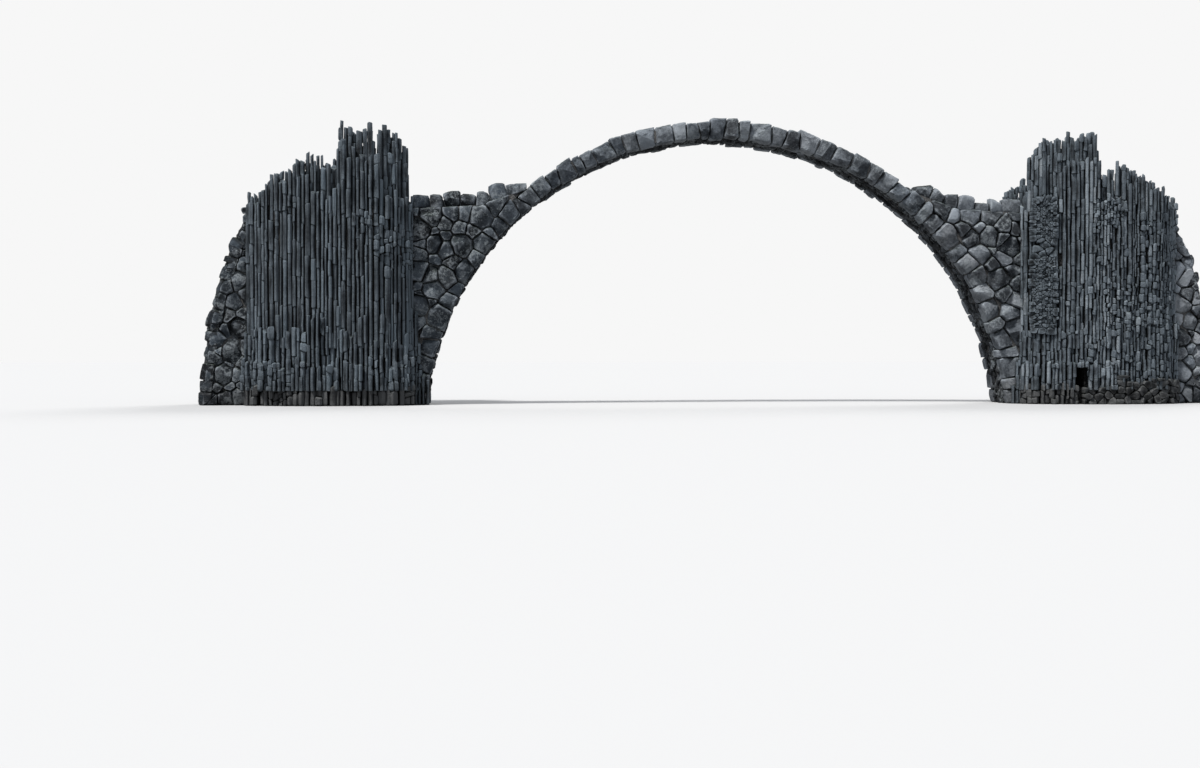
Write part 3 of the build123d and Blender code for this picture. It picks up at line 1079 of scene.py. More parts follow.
HAUNCH_LENGTHS = (0.40, 0.74)
HAUNCH_RADIUS = RADIUS + 0.93
HAUNCH_SWAY = 0.16
HAUNCH_SHARE = 0.24

# Small stones between the two faces: spacing, radius of their backs and limits of their fronts'
MIDDLE_REACH = 0.62
MIDDLE_JOINT = 0.03
MIDDLE_TILT = 0.25
LEAST_SMALL_STONE = 0.01
SOFFIT_STONES = (0.25, RADIUS + 0.25, (RADIUS - 0.03, RADIUS + 0.07))
CROWN_SLABS = (0.4, RADIUS + 0.3, (RING_OUTER - 0.04, RING_OUTER + 0.01))

BED_STEPS = 8
BED_UNDER = 0.1
BED_INSET = 0.05
WATER_LINE = ((0, 0), (0, 1))


def ring_row(draw, radius, lengths, most, first=0.0, last=1.0):
    """Seeds in a row round the arch at about a radius, over a share of its sweep."""
    seeds = []
    share = first
    while share < last:
        length = draw.uniform(*lengths) / (radius * SWEEP)
        seeds.append(on_arch(radius + sway(draw, most), FIRST_ANGLE + SWEEP * (share + length / 2)))
        share += length
    return seeds


def bastion_line(side):
    """The line along a bastion's inner face, where the arch's masonry ends."""
    return ((side * (BASTION_START - 0.01), 0), (-side, 0))


def wall_limits(seed):
    """Lines that end every stone of a face: the path, the water and the bastion."""
    free_top = 0 if abs(seed[0]) > DECK_BREAK else 2
    path = (seed[0], deck_height(seed[0]) + free_top)
    return [(path, deck_normal(seed)), WATER_LINE, bastion_line(math.copysign(1, seed[0]))]


def ring_limits(seed, draw):
    """Lines that end a ring stone: the arch's opening, the ring's top and those of the wall."""
    _, angle = arch_place(seed)
    out = (math.cos(angle), math.sin(angle))
    under = RADIUS + draw.uniform(*RING_UNDER_PLAY)
    top = RING_OUTER + draw.uniform(*RING_TOP_PLAY)
    if abs(math.degrees(angle) - 90) < KEYSTONE_REACH:
        top += KEYSTONE_RISE
    if abs(seed[0]) > DECK_BREAK:
        top = RING_OUTER + COVERED_RISE
    top = min(top, CAD_TOP_RADIUS)
    return [
        (on_arch(under, angle), turned(out, sway(draw, RING_UNDER_TILT))),
        (on_arch(top, angle), turned((-out[0], -out[1]), sway(draw, RING_TOP_TILT))),
    ] + wall_limits(seed)


def spandrel_seeds(side, draw, taken):
    """Seeds of the boulders between the ring, the path and one bastion."""
    def allowed(p):
        radius, _ = arch_place(p)
        under_path = p[1] < deck_height(p[0]) - EDGE_CLEARANCE
        return radius > RING_OUTER + 0.3 and under_path and abs(p[0]) < BASTION_START - 0.2

    first, last = along_x(side, DECK_BREAK, BASTION_START)
    low, high = (first, EDGE_CLEARANCE), (last, SPANDREL_HIGH.z)
    return scattered(draw, low, high, BOULDER_SPACING, allowed, taken)


def haunch_seeds(draw):
    """Seeds of the boulders that follow the ring's back, near both bastions."""
    seeds = ring_row(draw, HAUNCH_RADIUS, HAUNCH_LENGTHS, HAUNCH_SWAY, 0.0, HAUNCH_SHARE)
    seeds += ring_row(draw, HAUNCH_RADIUS, HAUNCH_LENGTHS, HAUNCH_SWAY, 1 - HAUNCH_SHARE, 1.0)
    return [(x, z) for x, z in seeds
            if abs(x) < BASTION_START - EDGE_CLEARANCE and 0.2 < z < deck_height(x) - 0.2]


def wall_stone(cell, face, draw, proud, sharpness, tones):
    """One stone of a face, standing proud by its own amount."""
    front = face * (HALF_WIDTH + draw.uniform(*proud))
    back = face * (HALF_WIDTH - draw.uniform(*FACE_STONE_DEPTH))
    mapping = set_in_wall(cell, back, front, broken_front(draw, FACE_TILT), in_elevation, sharpness)
    return stone_copy(FACE_BLOCK, facing_out(face, mapping), draw.uniform(*tones))


def stretch_of(angle):
    """Name of the ring's stretch at an angle."""
    share = (angle - FIRST_ANGLE) / SWEEP
    return STRETCHES[min(len(STRETCHES) - 1, max(0, int(share * len(STRETCHES))))]


def bed_back(angle):
    """Outer radius of the ring's mortar: under the open top stones, or up to the spandrel."""
    free = RING_OUTER * abs(math.cos(angle)) < DECK_BREAK + 0.3
    return RING_OUTER + (-0.09 if free else 0.03)


def ring_bed(index):
    """The mortar inside one stretch of the ring."""
    steps = [index + i / BED_STEPS for i in range(BED_STEPS + 1)]
    angles = [FIRST_ANGLE + SWEEP * step / len(STRETCHES) for step in steps]
    under = [on_arch(RADIUS + BED_UNDER, a) for a in angles]
    over = [on_arch(bed_back(a), a) for a in reversed(angles)]
    limit = BASTION_START - 0.02
    outline = [(max(-limit, min(limit, x)), max(0.0, z)) for x, z in under + over]
    return mortar_block(outline, HALF_WIDTH - BED_INSET)


def add_round_arch(ring_stones, draw, kind, first, last, outwards):
    """Small stones between the two faces, on the arch's underside or on its back."""
    spacing, back, fronts = kind
    low, high = (RADIUS * first, -MIDDLE_REACH), (RADIUS * last, MIDDLE_REACH)
    seeds = scattered(draw, low, high, spacing, anywhere)
    cells = grown(seeds, seeds, 3 * spacing, MIDDLE_JOINT, box_lines(low, high), LEAST_SMALL_STONE)
    for seed, cell in cells:
        front = draw.uniform(*fronts)
        mapping = set_in_wall(cell, back, front, broken_front(draw, MIDDLE_TILT), round_arch)
        turned_over = facing_out(-1 if outwards else 1, mapping)
        stone = stone_copy(SMALL_BLOCK, turned_over, draw.random())
        ring_stones[stretch_of(seed[0] / RADIUS)].append(stone)


def arch_face(face, ring_stones):
    """The stones of one face: the ring's are added to its stretches, each side's boulders returned."""
    draw = random.Random(100 + face)
    ring = ring_row(draw, RADIUS + RING / 2, RING_LENGTHS, RING_SWAY)
    haunches = haunch_seeds(draw)
    walls = {}
    for side_name, side in SIDES.items():
        own = [p for p in haunches if p[0] * side > 0]
        walls[side_name] = own + spandrel_seeds(side, draw, ring + haunches)
    everything = ring + walls["left"] + walls["right"]

    def limits(seed):
        return ring_limits(seed, draw)

    for seed, cell in grown(ring, everything, BOULDER_REACH, JOINT, limits, unequal=UNEQUAL_BOULDERS):
        stone = wall_stone(cell, face, draw, RING_PROUD, RING_SHARPNESS, RING_TONES)
        ring_stones[stretch_of(arch_place(seed)[1])].append(stone)
    boulders = {}
    for side_name, seeds in walls.items():
        cells = grown(seeds, everything, BOULDER_REACH, JOINT, wall_limits, LEAST_BOULDER, UNEQUAL_BOULDERS)
        boulders[side_name] = [
            wall_stone(cell, face, draw, BOULDER_PROUD, draw.uniform(*BOULDER_SHARPNESS), (0, 1))
            for _, cell in cells
        ]
    return boulders


def build_masonry():
    """The arch ring with its mortar, and the boulder faces."""
    ring_stones = {name: [] for name in STRETCHES}
    faces = {face_name: arch_face(face, ring_stones) for face_name, face in FACES.items()}
    draw = random.Random(103)
    add_round_arch(ring_stones, draw, SOFFIT_STONES, FIRST_ANGLE, FIRST_ANGLE + SWEEP, False)
    crown = math.asin((DECK_BREAK - 0.2) / RING_OUTER)
    add_round_arch(ring_stones, draw, CROWN_SLABS, math.pi / 2 - crown, math.pi / 2 + crown, True)
    for index, (name, stones) in enumerate(ring_stones.items()):
        piece = with_mortar(f"ring_{name}", stones, ring_bed(index))
        finished(piece, "arch_" + name, STONE_SMOOTH)
    for face_name, boulders in faces.items():
        for side_name, stones in boulders.items():
            key = f"{side_name}_{face_name}"
            rock = joined(key + "_boulder_face", stones)
            weathered(rock, key)
            finished(rock, key + "_spandrel_boulders", STONE_SMOOTH, BOULDER)


# Path: kerbs and flagstones

KERB_LENGTHS = (0.34, 0.66)
KERB_SEED_RISE = (0.05, 0.2)
KERB_PROUD = (0.0, 0.1)
KERB_SPREAD = (0.85, 1.2)
KERB_SHARPNESS = (12, 22)
KERB_TOPS = (0.6, 1.6)
KERB_TILT = 0.65
KERB_FRONT_TILT = 0.25
KERB_REACH = 0.4
KERB_JOINT = 0.02
KERB_SEAT = 0.06

PATH_SPACING = 0.36
PATH_SLAB = 0.11
PLATFORM_SPACING = 0.42
PLATFORM_INSET = 0.46
SLAB_REACH = 0.8
SLAB_JOINT = 0.03
SLAB_PLAY = 0.03
SLAB_TILT = 0.03
SLAB_WEAR_SIZE = 0.16
SLAB_WEAR = 0.035
FAR = 20.0


def kerb_limits(seed, draw):
    """Lines that end a kerb boulder: the masonry under it, its own uneven top and the bastion."""
    side = math.copysign(1, seed[0])
    x = side * max(DECK_BREAK, abs(seed[0]))
    z = deck_height(x)
    down = deck_normal(seed)
    top = KERB_HEIGHT * draw.uniform(*KERB_TOPS)
    return [
        ((x, z - KERB_SEAT), (-down[0], -down[1])),
        ((x - down[0] * top, z - down[1] * top), turned(down, sway(draw, KERB_TILT))),
        bastion_line(side),
    ]


def build_kerb(side_name, side, face_name, face):
    """Rough boulders set on edge along one edge of the sloping path."""
    draw = random.Random(200 + 3 * side + face)
    seeds = []
    x = DECK_BREAK + 0.4
    while x < BASTION_START - 0.1:
        seeds.append((side * x, deck_height(x) + draw.uniform(*KERB_SEED_RISE)))
        x += draw.uniform(*KERB_LENGTHS)
    stones = []
    for _, cell in grown(seeds, seeds, KERB_REACH, KERB_JOINT, lambda seed: kerb_limits(seed, draw)):
        outer = face * (HALF_WIDTH + draw.uniform(*KERB_PROUD))
        inner = face * (HALF_WIDTH - KERB_WIDTH * draw.uniform(*KERB_SPREAD))
        fall = broken_front(draw, KERB_FRONT_TILT)
        mapping = set_in_wall(cell, inner, outer, fall, in_elevation, draw.uniform(*KERB_SHARPNESS))
        stones.append(stone_copy(draw.choice(ROUGH_STONES), facing_out(face, mapping), draw.random()))
    name = f"{side_name}_{face_name}_kerb_blocks"
    rock = joined(name, stones)
    weathered(rock, name)
    finished(rock, f"{side_name}_{face_name}_kerb_stones", STONE_SMOOTH, BOULDER)


def inset_plan(side, inset):
    """A bastion's plan drawn in by a distance, except at its two straight ends."""
    outline = square_round((BASTION_START + BASTION_LENGTH / 2, 0), FAR)
    for (x, y), normal in outline_lines(CORE_CHAIN + [(x, -y) for x, y in reversed(CORE_CHAIN)]):
        distance = 0 if abs(normal[1]) < 0.01 else inset
        outline = clipped(outline, ((x + normal[0] * distance, y + normal[1] * distance), normal))
    return [(side * x, y) for x, y in outline]


def lay_slabs(name, seeds, lines, axes, low, high, draw, node):
    """Flat stones grown from seeds inside the lines, worn and finished as one piece."""
    stones = []
    for _, cell in grown(seeds, seeds, SLAB_REACH, SLAB_JOINT, lines, LEAST_SMALL_STONE):
        top = high - draw.uniform(0, SLAB_PLAY)
        mapping = set_in_wall(cell, low, top, broken_front(draw, SLAB_TILT), axes)
        stones.append(stone_copy(SMALL_BLOCK, facing_out(1, mapping), draw.random()))
    slabs = joined(name, stones)
    roughened(slabs, name + "_wear", SLAB_WEAR_SIZE, SLAB_WEAR)
    finished(slabs, node, STONE_SMOOTH, PATH)


def build_flagstones(side_name, side):
    """Uneven flat stones on one side's sloping path and on its platform."""
    draw = random.Random(300 + side)
    reach = HALF_WIDTH - KERB_WIDTH - 0.02
    first, last = along_x(side, DECK_BREAK, BASTION_START)
    low, high = (first, -reach), (last, reach)
    seeds = scattered(draw, low, high, PATH_SPACING, anywhere)
    lay_slabs(f"{side_name}_path_slabs", seeds, box_lines(low, high), on_slope, 0.0, PATH_SLAB, draw,
              f"{side_name}_path_flagstones")
    paving_low, paving_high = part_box(f"{side_name}_platform_paving")
    lines = outline_lines(inset_plan(side, PLATFORM_INSET))
    seeds = scattered(draw, paving_low[:2], paving_high[:2], PLATFORM_SPACING, lambda p: inside(p, lines))
    lay_slabs(f"{side_name}_platform_slabs", seeds, lines, in_plan, PLATFORM, PAVING_TOP - 0.01, draw,
              f"{side_name}_platform_paving")


# Columns

Station = collections.namedtuple("Station", "x y width tone")

# Widths on the left and on the right bastion
UPPER_WIDTHS = {-1: (0.12, 0.215), 1: (0.10, 0.185)}
LOWER_WIDTHS = {-1: (0.13, 0.225), 1: (0.11, 0.19)}
SPIRE_WIDTHS = {-1: (0.12, 0.20), 1: (0.115, 0.195)}
PLINTH_WIDTHS = (0.13, 0.24)

# Groups of columns that stand out or back together
GROUP_SIZE = (1, 6)
GROUP_STEP = (-0.06, 0.055)
GROUP_TONE = (0.15, 0.85)
COLUMN_STEP = 0.028
COLUMN_TONE = 0.3

# The pieces of a column
STUB_SHARE = 2.2
LEAST_REST = 0.6
TOP_PLAY = 0.02
LEAN = 0.004
LEAST_SPLIT = 0.1
JOINT_SPLIT = 0.5
TOP_SPLIT = 0.9
SLIP_ALONG = 0.017
SLIP_OUT = 0.04
LOOSE_STUB = 1.7
PIECE_TURN = 0.5
PIECE_TONE = 0.4
COLUMN_WEAR_SIZE = 0.15
COLUMN_WEAR = 0.045
COLUMN_SMOOTH = 25

# How far the rows stand out of the core, and how deep their columns are
UPPER_ROW = (0.07, 0.18)
LOWER_ROW = (0.12, 0.22)
SHORT_ROW = (0.24, 0.18)
PLINTH_ROW = (0.15, 0.27)
SPIRE_DEPTH = 0.15

# Zones of the right front face where the columns are broken short: place along X, height, piece lengths
SHORT_ZONES = [
    ((11.0, 17.0), (0.0, 0.6), (0.14, 0.50)),
    ((13.3, 14.6), (6.3, 7.3), (0.07, 0.24)),
    ((13.9, 17.0), (0.6, 1.7), (0.10, 0.42)),
    ((11.0, 17.0), (0.6, 1.7), (0.20, 0.75)),
    ((13.6, 17.0), (2.4, 4.4), (0.10, 0.34)),
    ((15.1, 17.0), (4.4, 6.7), (0.12, 0.40)),
    ((13.3, 17.0), (1.7, 6.8), (0.14, 0.60)),
    ((12.2, 13.3), (1.7, 4.6), (0.16, 0.70)),
]

# Piece lengths outside the zones: the height where they change, the lengths over and under it
RIGHT_FRONT_LENGTHS = (4.6, (0.35, 1.3), (0.20, 0.85))
OTHER_LENGTHS = (1.8, (0.4, 1.8), (0.3, 0.9))
BROKEN_LENGTHS = (0.12, 0.45)
BROKEN_FROM = 0.22

# The arched panel of small pieces in the right front face, and its bands: heights, pitch, piece heights
PANEL_START = 11.36
PANEL_END = 12.02
PANEL_TOP = 7.38
PANEL_FOOT = 2.7
PANEL_ROUNDING = 2.4
PANEL_DEPTH = (0.20, 0.285)
PANEL_REACH = 0.17
PANEL_JOINT = 0.004
PANEL_LAP = 0.05
PANEL_WANDER = 0.08
PANEL_BANDS = [
    ((2.4, 5.2), 0.076, (0.06, 0.18)),
    ((5.2, 6.1), 0.10, (0.20, 0.60)),
    ((6.1, 7.5), 0.076, (0.06, 0.16)),
]

# Narrow dark openings in the right front face: place along X, bottom and top
WEEP_SLOT_REACH = 0.07
WEEP_SLOTS = [(12.12, 4.92, 5.42), (13.92, 5.55, 5.90), (15.25, 5.0, 5.62)]
RUN_STEP = 0.06

# The low lifts on the inner part of the right front face end level
SHORT_TOP = 1.5
LEVEL_TOP = 2.68
LEVEL_END = 13.1

# Tops of the short columns that widen a bastion's foot: distance before its inner face, height
FLARES = {
    -1: [(0, 4.2), (0.17, 4.0), (0.2, 2.4), (0.35, 2.2), (0.4, 1.1), (0.6, 0.9)],
    1: [(0, 2.7), (0.1, 2.5), (0.12, 1.6), (0.22, 1.4), (0.25, 0.6), (0.45, 0.5)],
}
FLARE_WIDTH = 0.14
FLARE_OUT = 0.24
FLARE_NARROWING = 0.15

# How far single tops differ from their row's
UPPER_PLAY = (-0.3, 0.2)
LOWER_PLAY = (-0.9, 0.5)
LEVEL_PLAY = (-0.12, 0.1)
SHORT_PLAY = (-0.25, 0.2)
LEVEL_SHORT_PLAY = (-0.06, 0.05)
FLARE_PLAY = 0.15
SPIRE_PLAY = (-0.15, 0.1)
PLINTH_PLAY = 0.12

# Tops of the columns: distance from the bastion's inner face, height over its platform
FACING_PROFILE = [
    (0, 0.3), (0.9, 0.45), (1.0, 1.55), (2.3, 1.95), (2.4, 0.55),
    (3.4, 0.35), (3.5, 1.15), (4.8, 0.95), (5.3, 0.25), (5.7, 0.2),
]
SPIRE_PROFILES = {
    -1: [
        (0, 1.75), (0.25, 2.45), (0.7, 2.75), (2.4, 2.9), (2.5, 1.7),
        (3.5, 1.8), (4.0, 1.35), (4.7, 1.1), (5.1, 0.5),
    ],
    1: [(0, 0.95), (1.5, 1.55), (2.4, 2.25), (3.9, 1.55), (5.1, 0.55)],
}
SPIRE_GAPS = 0.05
SPIRE_ROWS = (0.09, 0.2, 0.31)
SPIRE_FALL = 0.12
SPIRE_DROPS = (0.0, 0.2, 0.5, 0.9)
SPIRE_SPREAD = 1.1
SPIRE_TONE = 0.66
LEAST_SPIRE = 0.3

PLINTH_SPREAD = 1.2
# Painted light: how much the plinth's tones are raised, on the left and on the right bastion
PLINTH_PAINTED_LIGHT = {-1: 0.35, 1: 0.0}
PLINTH_PITCH = (0.15, 0.6)
PLINTH_LEVELS = (0.1, 0.28, 0.5)
PLINTH_DEPTH = (0.26, 0.36)
RUBBLE_START = 14.2
RUBBLE_LEVELS = (0.72, 0.93)
RUBBLE_RISE = 0.5

SMALL_PIECE_TILT = 0.4
SMALL_PIECE_TONES = (0.0, 0.75)
SMALL_PIECE_BACK = -0.06
SMALL_PIECE_SHARPNESS = 30
LEAST_PIECE = 0.0025


def is_right_front(side, face):
    """Whether this is the front half of the right bastion, with the openings and small pieces."""
    return side > 0 and face < 0


def stations(chain, out, widths, side, face, draw):
    """Columns along a chain on one half of a bastion, moved out from it in small groups."""
    places = []
    group = 0
    for a, b in zip(chain, chain[1:]):
        length = math.dist(a, b)
        way = ((b[0] - a[0]) / length, (b[1] - a[1]) / length)
        row = []
        while not row or sum(row) < length - widths[0] / 2:
            row.append(draw.uniform(*widths))
        fit = length / sum(row)
        travelled = 0
        for width in row:
            if group == 0:
                group = draw.randint(*GROUP_SIZE)
                step = draw.uniform(*GROUP_STEP)
                tone = draw.uniform(*GROUP_TONE)
            group -= 1
            along = travelled + width * fit / 2
            travelled += width * fit
            shift = out + step + sway(draw, COLUMN_STEP)
            x = a[0] + way[0] * along - way[1] * shift
            y = a[1] + way[1] * along + way[0] * shift
            own_tone = kept_share(tone + sway(draw, COLUMN_TONE))
            places.append(Station(side * x, face * y, width * fit, own_tone))
    return places


def piece_lengths(side, face, x, z):
    """Shortest and longest broken piece at a place on a bastion."""
    if is_right_front(side, face):
        for (left, right), (low, high), lengths in SHORT_ZONES:
            if left <= x <= right and low <= z <= high:
                return lengths
        change, over, under = RIGHT_FRONT_LENGTHS
    else:
        if noise.noise((x * 0.55, z * 0.45, 3.7 * side + 9.1 * face)) > BROKEN_FROM:
            return BROKEN_LENGTHS
        change, over, under = OTHER_LENGTHS
    return over if z >= change else under


def stacked(seat, spread, turn, start, length, slopes, lean):
    """A mapping of a column piece onto its seat, its foot and its top split at their slopes."""
    def place(co):
        flat = Vector((co.x, co.y))
        flat.rotate(Matrix.Rotation(turn, 2))
        flat *= spread
        rise = start + co.z * length + flat.dot(slopes[0].lerp(slopes[1], co.z))
        flat += seat + lean * (rise - start)
        return Vector((flat.x, flat.y, rise))

    return place


def column_pieces(station, side, face, depth, low, high, draw):
    """A column from low to high, as broken pieces stacked with small slips, its top split at a slant."""
    pieces = []
    z = low
    turn = draw.uniform(0, math.tau)
    slope = Vector((0, 0))
    lean = Vector((sway(draw, LEAN), sway(draw, LEAN)))
    while z < high - TOP_PLAY:
        shortest, longest = piece_lengths(side, face, abs(station.x), z)
        length = draw.uniform(shortest, longest)
        if high - z - length < shortest * LEAST_REST:
            length = high - z
        split = draw.uniform(LEAST_SPLIT, TOP_SPLIT if z + length >= high - TOP_PLAY else JOINT_SPLIT)
        foot = slope
        slope = Vector((split, 0)) @ Matrix.Rotation(draw.uniform(0, math.tau), 2)
        stub = length < STUB_SHARE * station.width
        slip = Vector((sway(draw, SLIP_ALONG), sway(draw, SLIP_OUT))) * (LOOSE_STUB if stub else 1.0)
        turn += draw.uniform(0, math.tau) if stub else draw.choice((0, 0, sway(draw, PIECE_TURN)))
        width = station.width * draw.uniform(0.8, 1.0 + 0.2 * stub)
        spread = Vector((width, depth * draw.uniform(0.9, 1.08)))
        master = draw.choice(STUBS if stub else LONG_PIECES)
        tone = kept_share(station.tone + sway(draw, PIECE_TONE))
        seat = Vector((station.x, station.y)) + slip
        pieces.append(stone_copy(master, stacked(seat, spread, turn, z, length, (foot, slope), lean), tone))
        z += length
    return pieces


def in_panel(x, z, inset=0.0):
    """Whether a place of the right front face lies in the panel of small pieces."""
    foot = PANEL_FOOT + 0.4 * noise.noise((x * 5, 0.0, 2.0))
    top = PANEL_TOP - PANEL_ROUNDING * (x - (PANEL_START + PANEL_END) / 2) ** 2
    return PANEL_START + inset < x < PANEL_END - inset and foot < z < top


def runs(station, side, face, low, high):
    """The stretches of a column that stay free of the outlet, the narrow openings and the small pieces."""
    if not is_right_front(side, face):
        return [(low, high)]
    if abs(station.x - OUTLET_X) < OUTLET_WIDTH / 2 + station.width / 3:
        low = max(low, OUTLET_TOP)
    openings = [(b, t) for x, b, t in WEEP_SLOTS if abs(station.x - x) < WEEP_SLOT_REACH]
    stretches = []
    start = None
    steps = max(1, round((high - low) / RUN_STEP))
    for i in range(steps + 1):
        z = low + (high - low) * i / steps
        free = not in_panel(station.x, z, PANEL_LAP) and not any(b < z < t for b, t in openings)
        if free and start is None:
            start = z
        if start is not None and (not free or i == steps):
            if z - start > 2 * RUN_STEP:
                stretches.append((start, z))
            start = None
    return stretches


def free_pieces(station, side, face, depth, low, high, draw):
    """A column's pieces on its free stretches."""
    pieces = []
    for start, end in runs(station, side, face, low, high):
        pieces += column_pieces(station, side, face, depth, start, end, draw)
    return pieces


def finish_columns(name, pieces, node, material):
    """Joins columns, wears them and gives them their finish."""
    columns = joined(name, pieces)
    roughened(columns, name + "_wear", COLUMN_WEAR_SIZE, COLUMN_WEAR, sideways=True)
    finished(columns, node, COLUMN_SMOOTH, material)


# Small pieces on the right front face

def on_facing(u, v, depth):
    """Outline along X and Z, depth out of the right bastion's front facing."""
    slope = (value_at(CORE_CHAIN, u + 0.15) - value_at(CORE_CHAIN, u - 0.15)) / 0.3
    out = Vector((-slope, 1)).normalized() * depth
    return Vector((u + out.x, -(value_at(CORE_CHAIN, u) + out.y), v))


def facing_stones(seeds, neighbours, limits, reach, joint, depth, draw):
    """Small stones grown from seeds on the facing."""
    stones = []
    for _, cell in grown(seeds, neighbours, reach, joint, limits, LEAST_PIECE):
        front = draw.uniform(*depth)
        fall = broken_front(draw, SMALL_PIECE_TILT)
        mapping = set_in_wall(cell, SMALL_PIECE_BACK, front, fall, on_facing, SMALL_PIECE_SHARPNESS,
                              SMALL_RIM_CHAMFER)
        stones.append(stone_copy(SMALL_BLOCK, mapping, draw.uniform(*SMALL_PIECE_TONES)))
    return stones


def panel_seeds(draw):
    """Middles of the panel's small pieces, roughly one over the other."""
    seeds = []
    for (low, high), pitch, steps in PANEL_BANDS:
        x = PANEL_START
        while x < PANEL_END - pitch / 3:
            z = low + draw.uniform(-steps[1], 0)
            while z < high:
                if in_panel(x, z) and all(math.dist((x, z), p) > pitch * 0.6 for p in seeds):
                    seeds.append((x + sway(draw, 0.12) * pitch, z))
                z += draw.uniform(*steps)
            x += pitch * draw.uniform(0.8, 1.2)
    return seeds


def panel_limits(seed):
    """Lines that end a small piece: the panel's edges and the narrow openings beside it."""
    x, z = seed
    lap = PANEL_LAP + PANEL_WANDER * noise.cell((math.copysign(3, x - PANEL_START - 0.3), z * 6, 1.0))
    limits = [((PANEL_START - lap, 0), (1, 0)), ((PANEL_END + lap, 0), (-1, 0))]
    for slot, bottom, top in WEEP_SLOTS:
        if bottom < z < top and abs(x - slot) < 0.3:
            way = math.copysign(1, x - slot)
            limits.append(((slot + way * WEEP_SLOT_REACH, 0), (way, 0)))
    return limits


def panel_pieces(upper):
    """The panel's small pieces that belong to the upper or to the lower lift."""
    draw = random.Random(450)
    seeds = panel_seeds(draw)
    own = [seed for seed in seeds if (seed[1] >= LOWER_TOP) == upper]
    return facing_stones(own, seeds, panel_limits, PANEL_REACH, PANEL_JOINT, PANEL_DEPTH, draw)


def plinth_blocks(draw):
    """Low rough blocks along the foot of the right front face, from the drain's slot outwards."""
    seeds = []
    for level in PLINTH_LEVELS + RUBBLE_LEVELS:
        x = (OUTLET_SLOT_X if level < PLINTH_TOP else RUBBLE_START) + draw.uniform(0.08, 0.2)
        while x < BASTION_END:
            seeds.append((x, level + sway(draw, 0.06)))
            x += draw.uniform(*PLINTH_PITCH)

    def limits(seed):
        top = PLINTH_TOP + draw.uniform(-0.1, 0.06)
        if seed[0] > RUBBLE_START:
            top += RUBBLE_RISE * noise.noise((seed[0] * 1.3, 4.0, 0.0)) + RUBBLE_RISE / 2
        return [
            WATER_LINE,
            ((seed[0], top), turned((0, -1), sway(draw, 0.15))),
            ((OUTLET_SLOT_X + OUTLET_SLOT / 2, 0), (1, 0)),
            ((BASTION_END, 0), (-1, 0)),
        ]

    return facing_stones(seeds, seeds, limits, 0.3, 0.01, PLINTH_DEPTH, draw)


# Bastions

def flared_foot(side, face, draw):
    """Columns before the ring's foot, shorter the further they stand from the bastion."""
    flare = FLARES[side]
    pieces = []
    distance = FLARE_WIDTH / 3
    while distance < flare[-1][0]:
        y = HALF_WIDTH + FLARE_OUT - FLARE_NARROWING * distance + sway(draw, 0.02)
        station = Station(side * (BASTION_START - distance), face * y, FLARE_WIDTH, draw.random())
        top = value_at(flare, distance) + sway(draw, FLARE_PLAY)
        pieces += column_pieces(station, side, face, LOWER_ROW[1], 0.0, top, draw)
        distance += FLARE_WIDTH * draw.uniform(0.8, 1.05)
    return pieces


def build_lower_columns(side_name, side, face_name, face):
    """The lower lift, which stands a little prouder, a short lift before it and the widened foot."""
    draw = random.Random(400 + 3 * side + face)
    seen = is_right_front(side, face)
    foot = PLINTH_TOP - 0.1
    pieces = []
    out, depth = LOWER_ROW
    for station in stations(FACING_CHAIN, out, LOWER_WIDTHS[side], side, face, draw):
        top = LOWER_TOP + draw.uniform(*LOWER_PLAY)
        if seen and station.x < LEVEL_END:
            top = LEVEL_TOP + draw.uniform(*LEVEL_PLAY)
        pieces += free_pieces(station, side, face, depth, foot, top, draw)
    out, depth = SHORT_ROW
    for station in stations(FACING_CHAIN, out, LOWER_WIDTHS[side], side, face, draw):
        if seen and station.x > RUBBLE_START:
            continue
        level = seen and station.x < LEVEL_END
        if level or noise.noise((station.x * 0.8, 0.0, 5.0 * face)) > -0.15:
            top = SHORT_TOP + draw.uniform(*(LEVEL_SHORT_PLAY if level else SHORT_PLAY))
            pieces += free_pieces(station, side, face, depth, foot, top, draw)
    pieces += flared_foot(side, face, draw)
    if seen:
        pieces += panel_pieces(False)
    finish_columns(f"{side_name}_{face_name}_lower_palisade", pieces,
                   f"{side_name}_{face_name}_lower_columns", COLUMN)


def build_upper_columns(side_name, side, face_name, face):
    """The upper lift, up to the stepped skyline."""
    draw = random.Random(500 + 3 * side + face)
    pieces = []
    out, depth = UPPER_ROW
    for station in stations(FACING_CHAIN, out, UPPER_WIDTHS[side], side, face, draw):
        distance = abs(station.x) - BASTION_START
        top = PLATFORM + value_at(FACING_PROFILE, distance) + draw.uniform(*UPPER_PLAY)
        pieces += free_pieces(station, side, face, depth, LOWER_TOP - 1.0, top, draw)
    if is_right_front(side, face):
        pieces += panel_pieces(True)
    finish_columns(f"{side_name}_{face_name}_upper_palisade", pieces,
                   f"{side_name}_{face_name}_upper_columns", COLUMN)


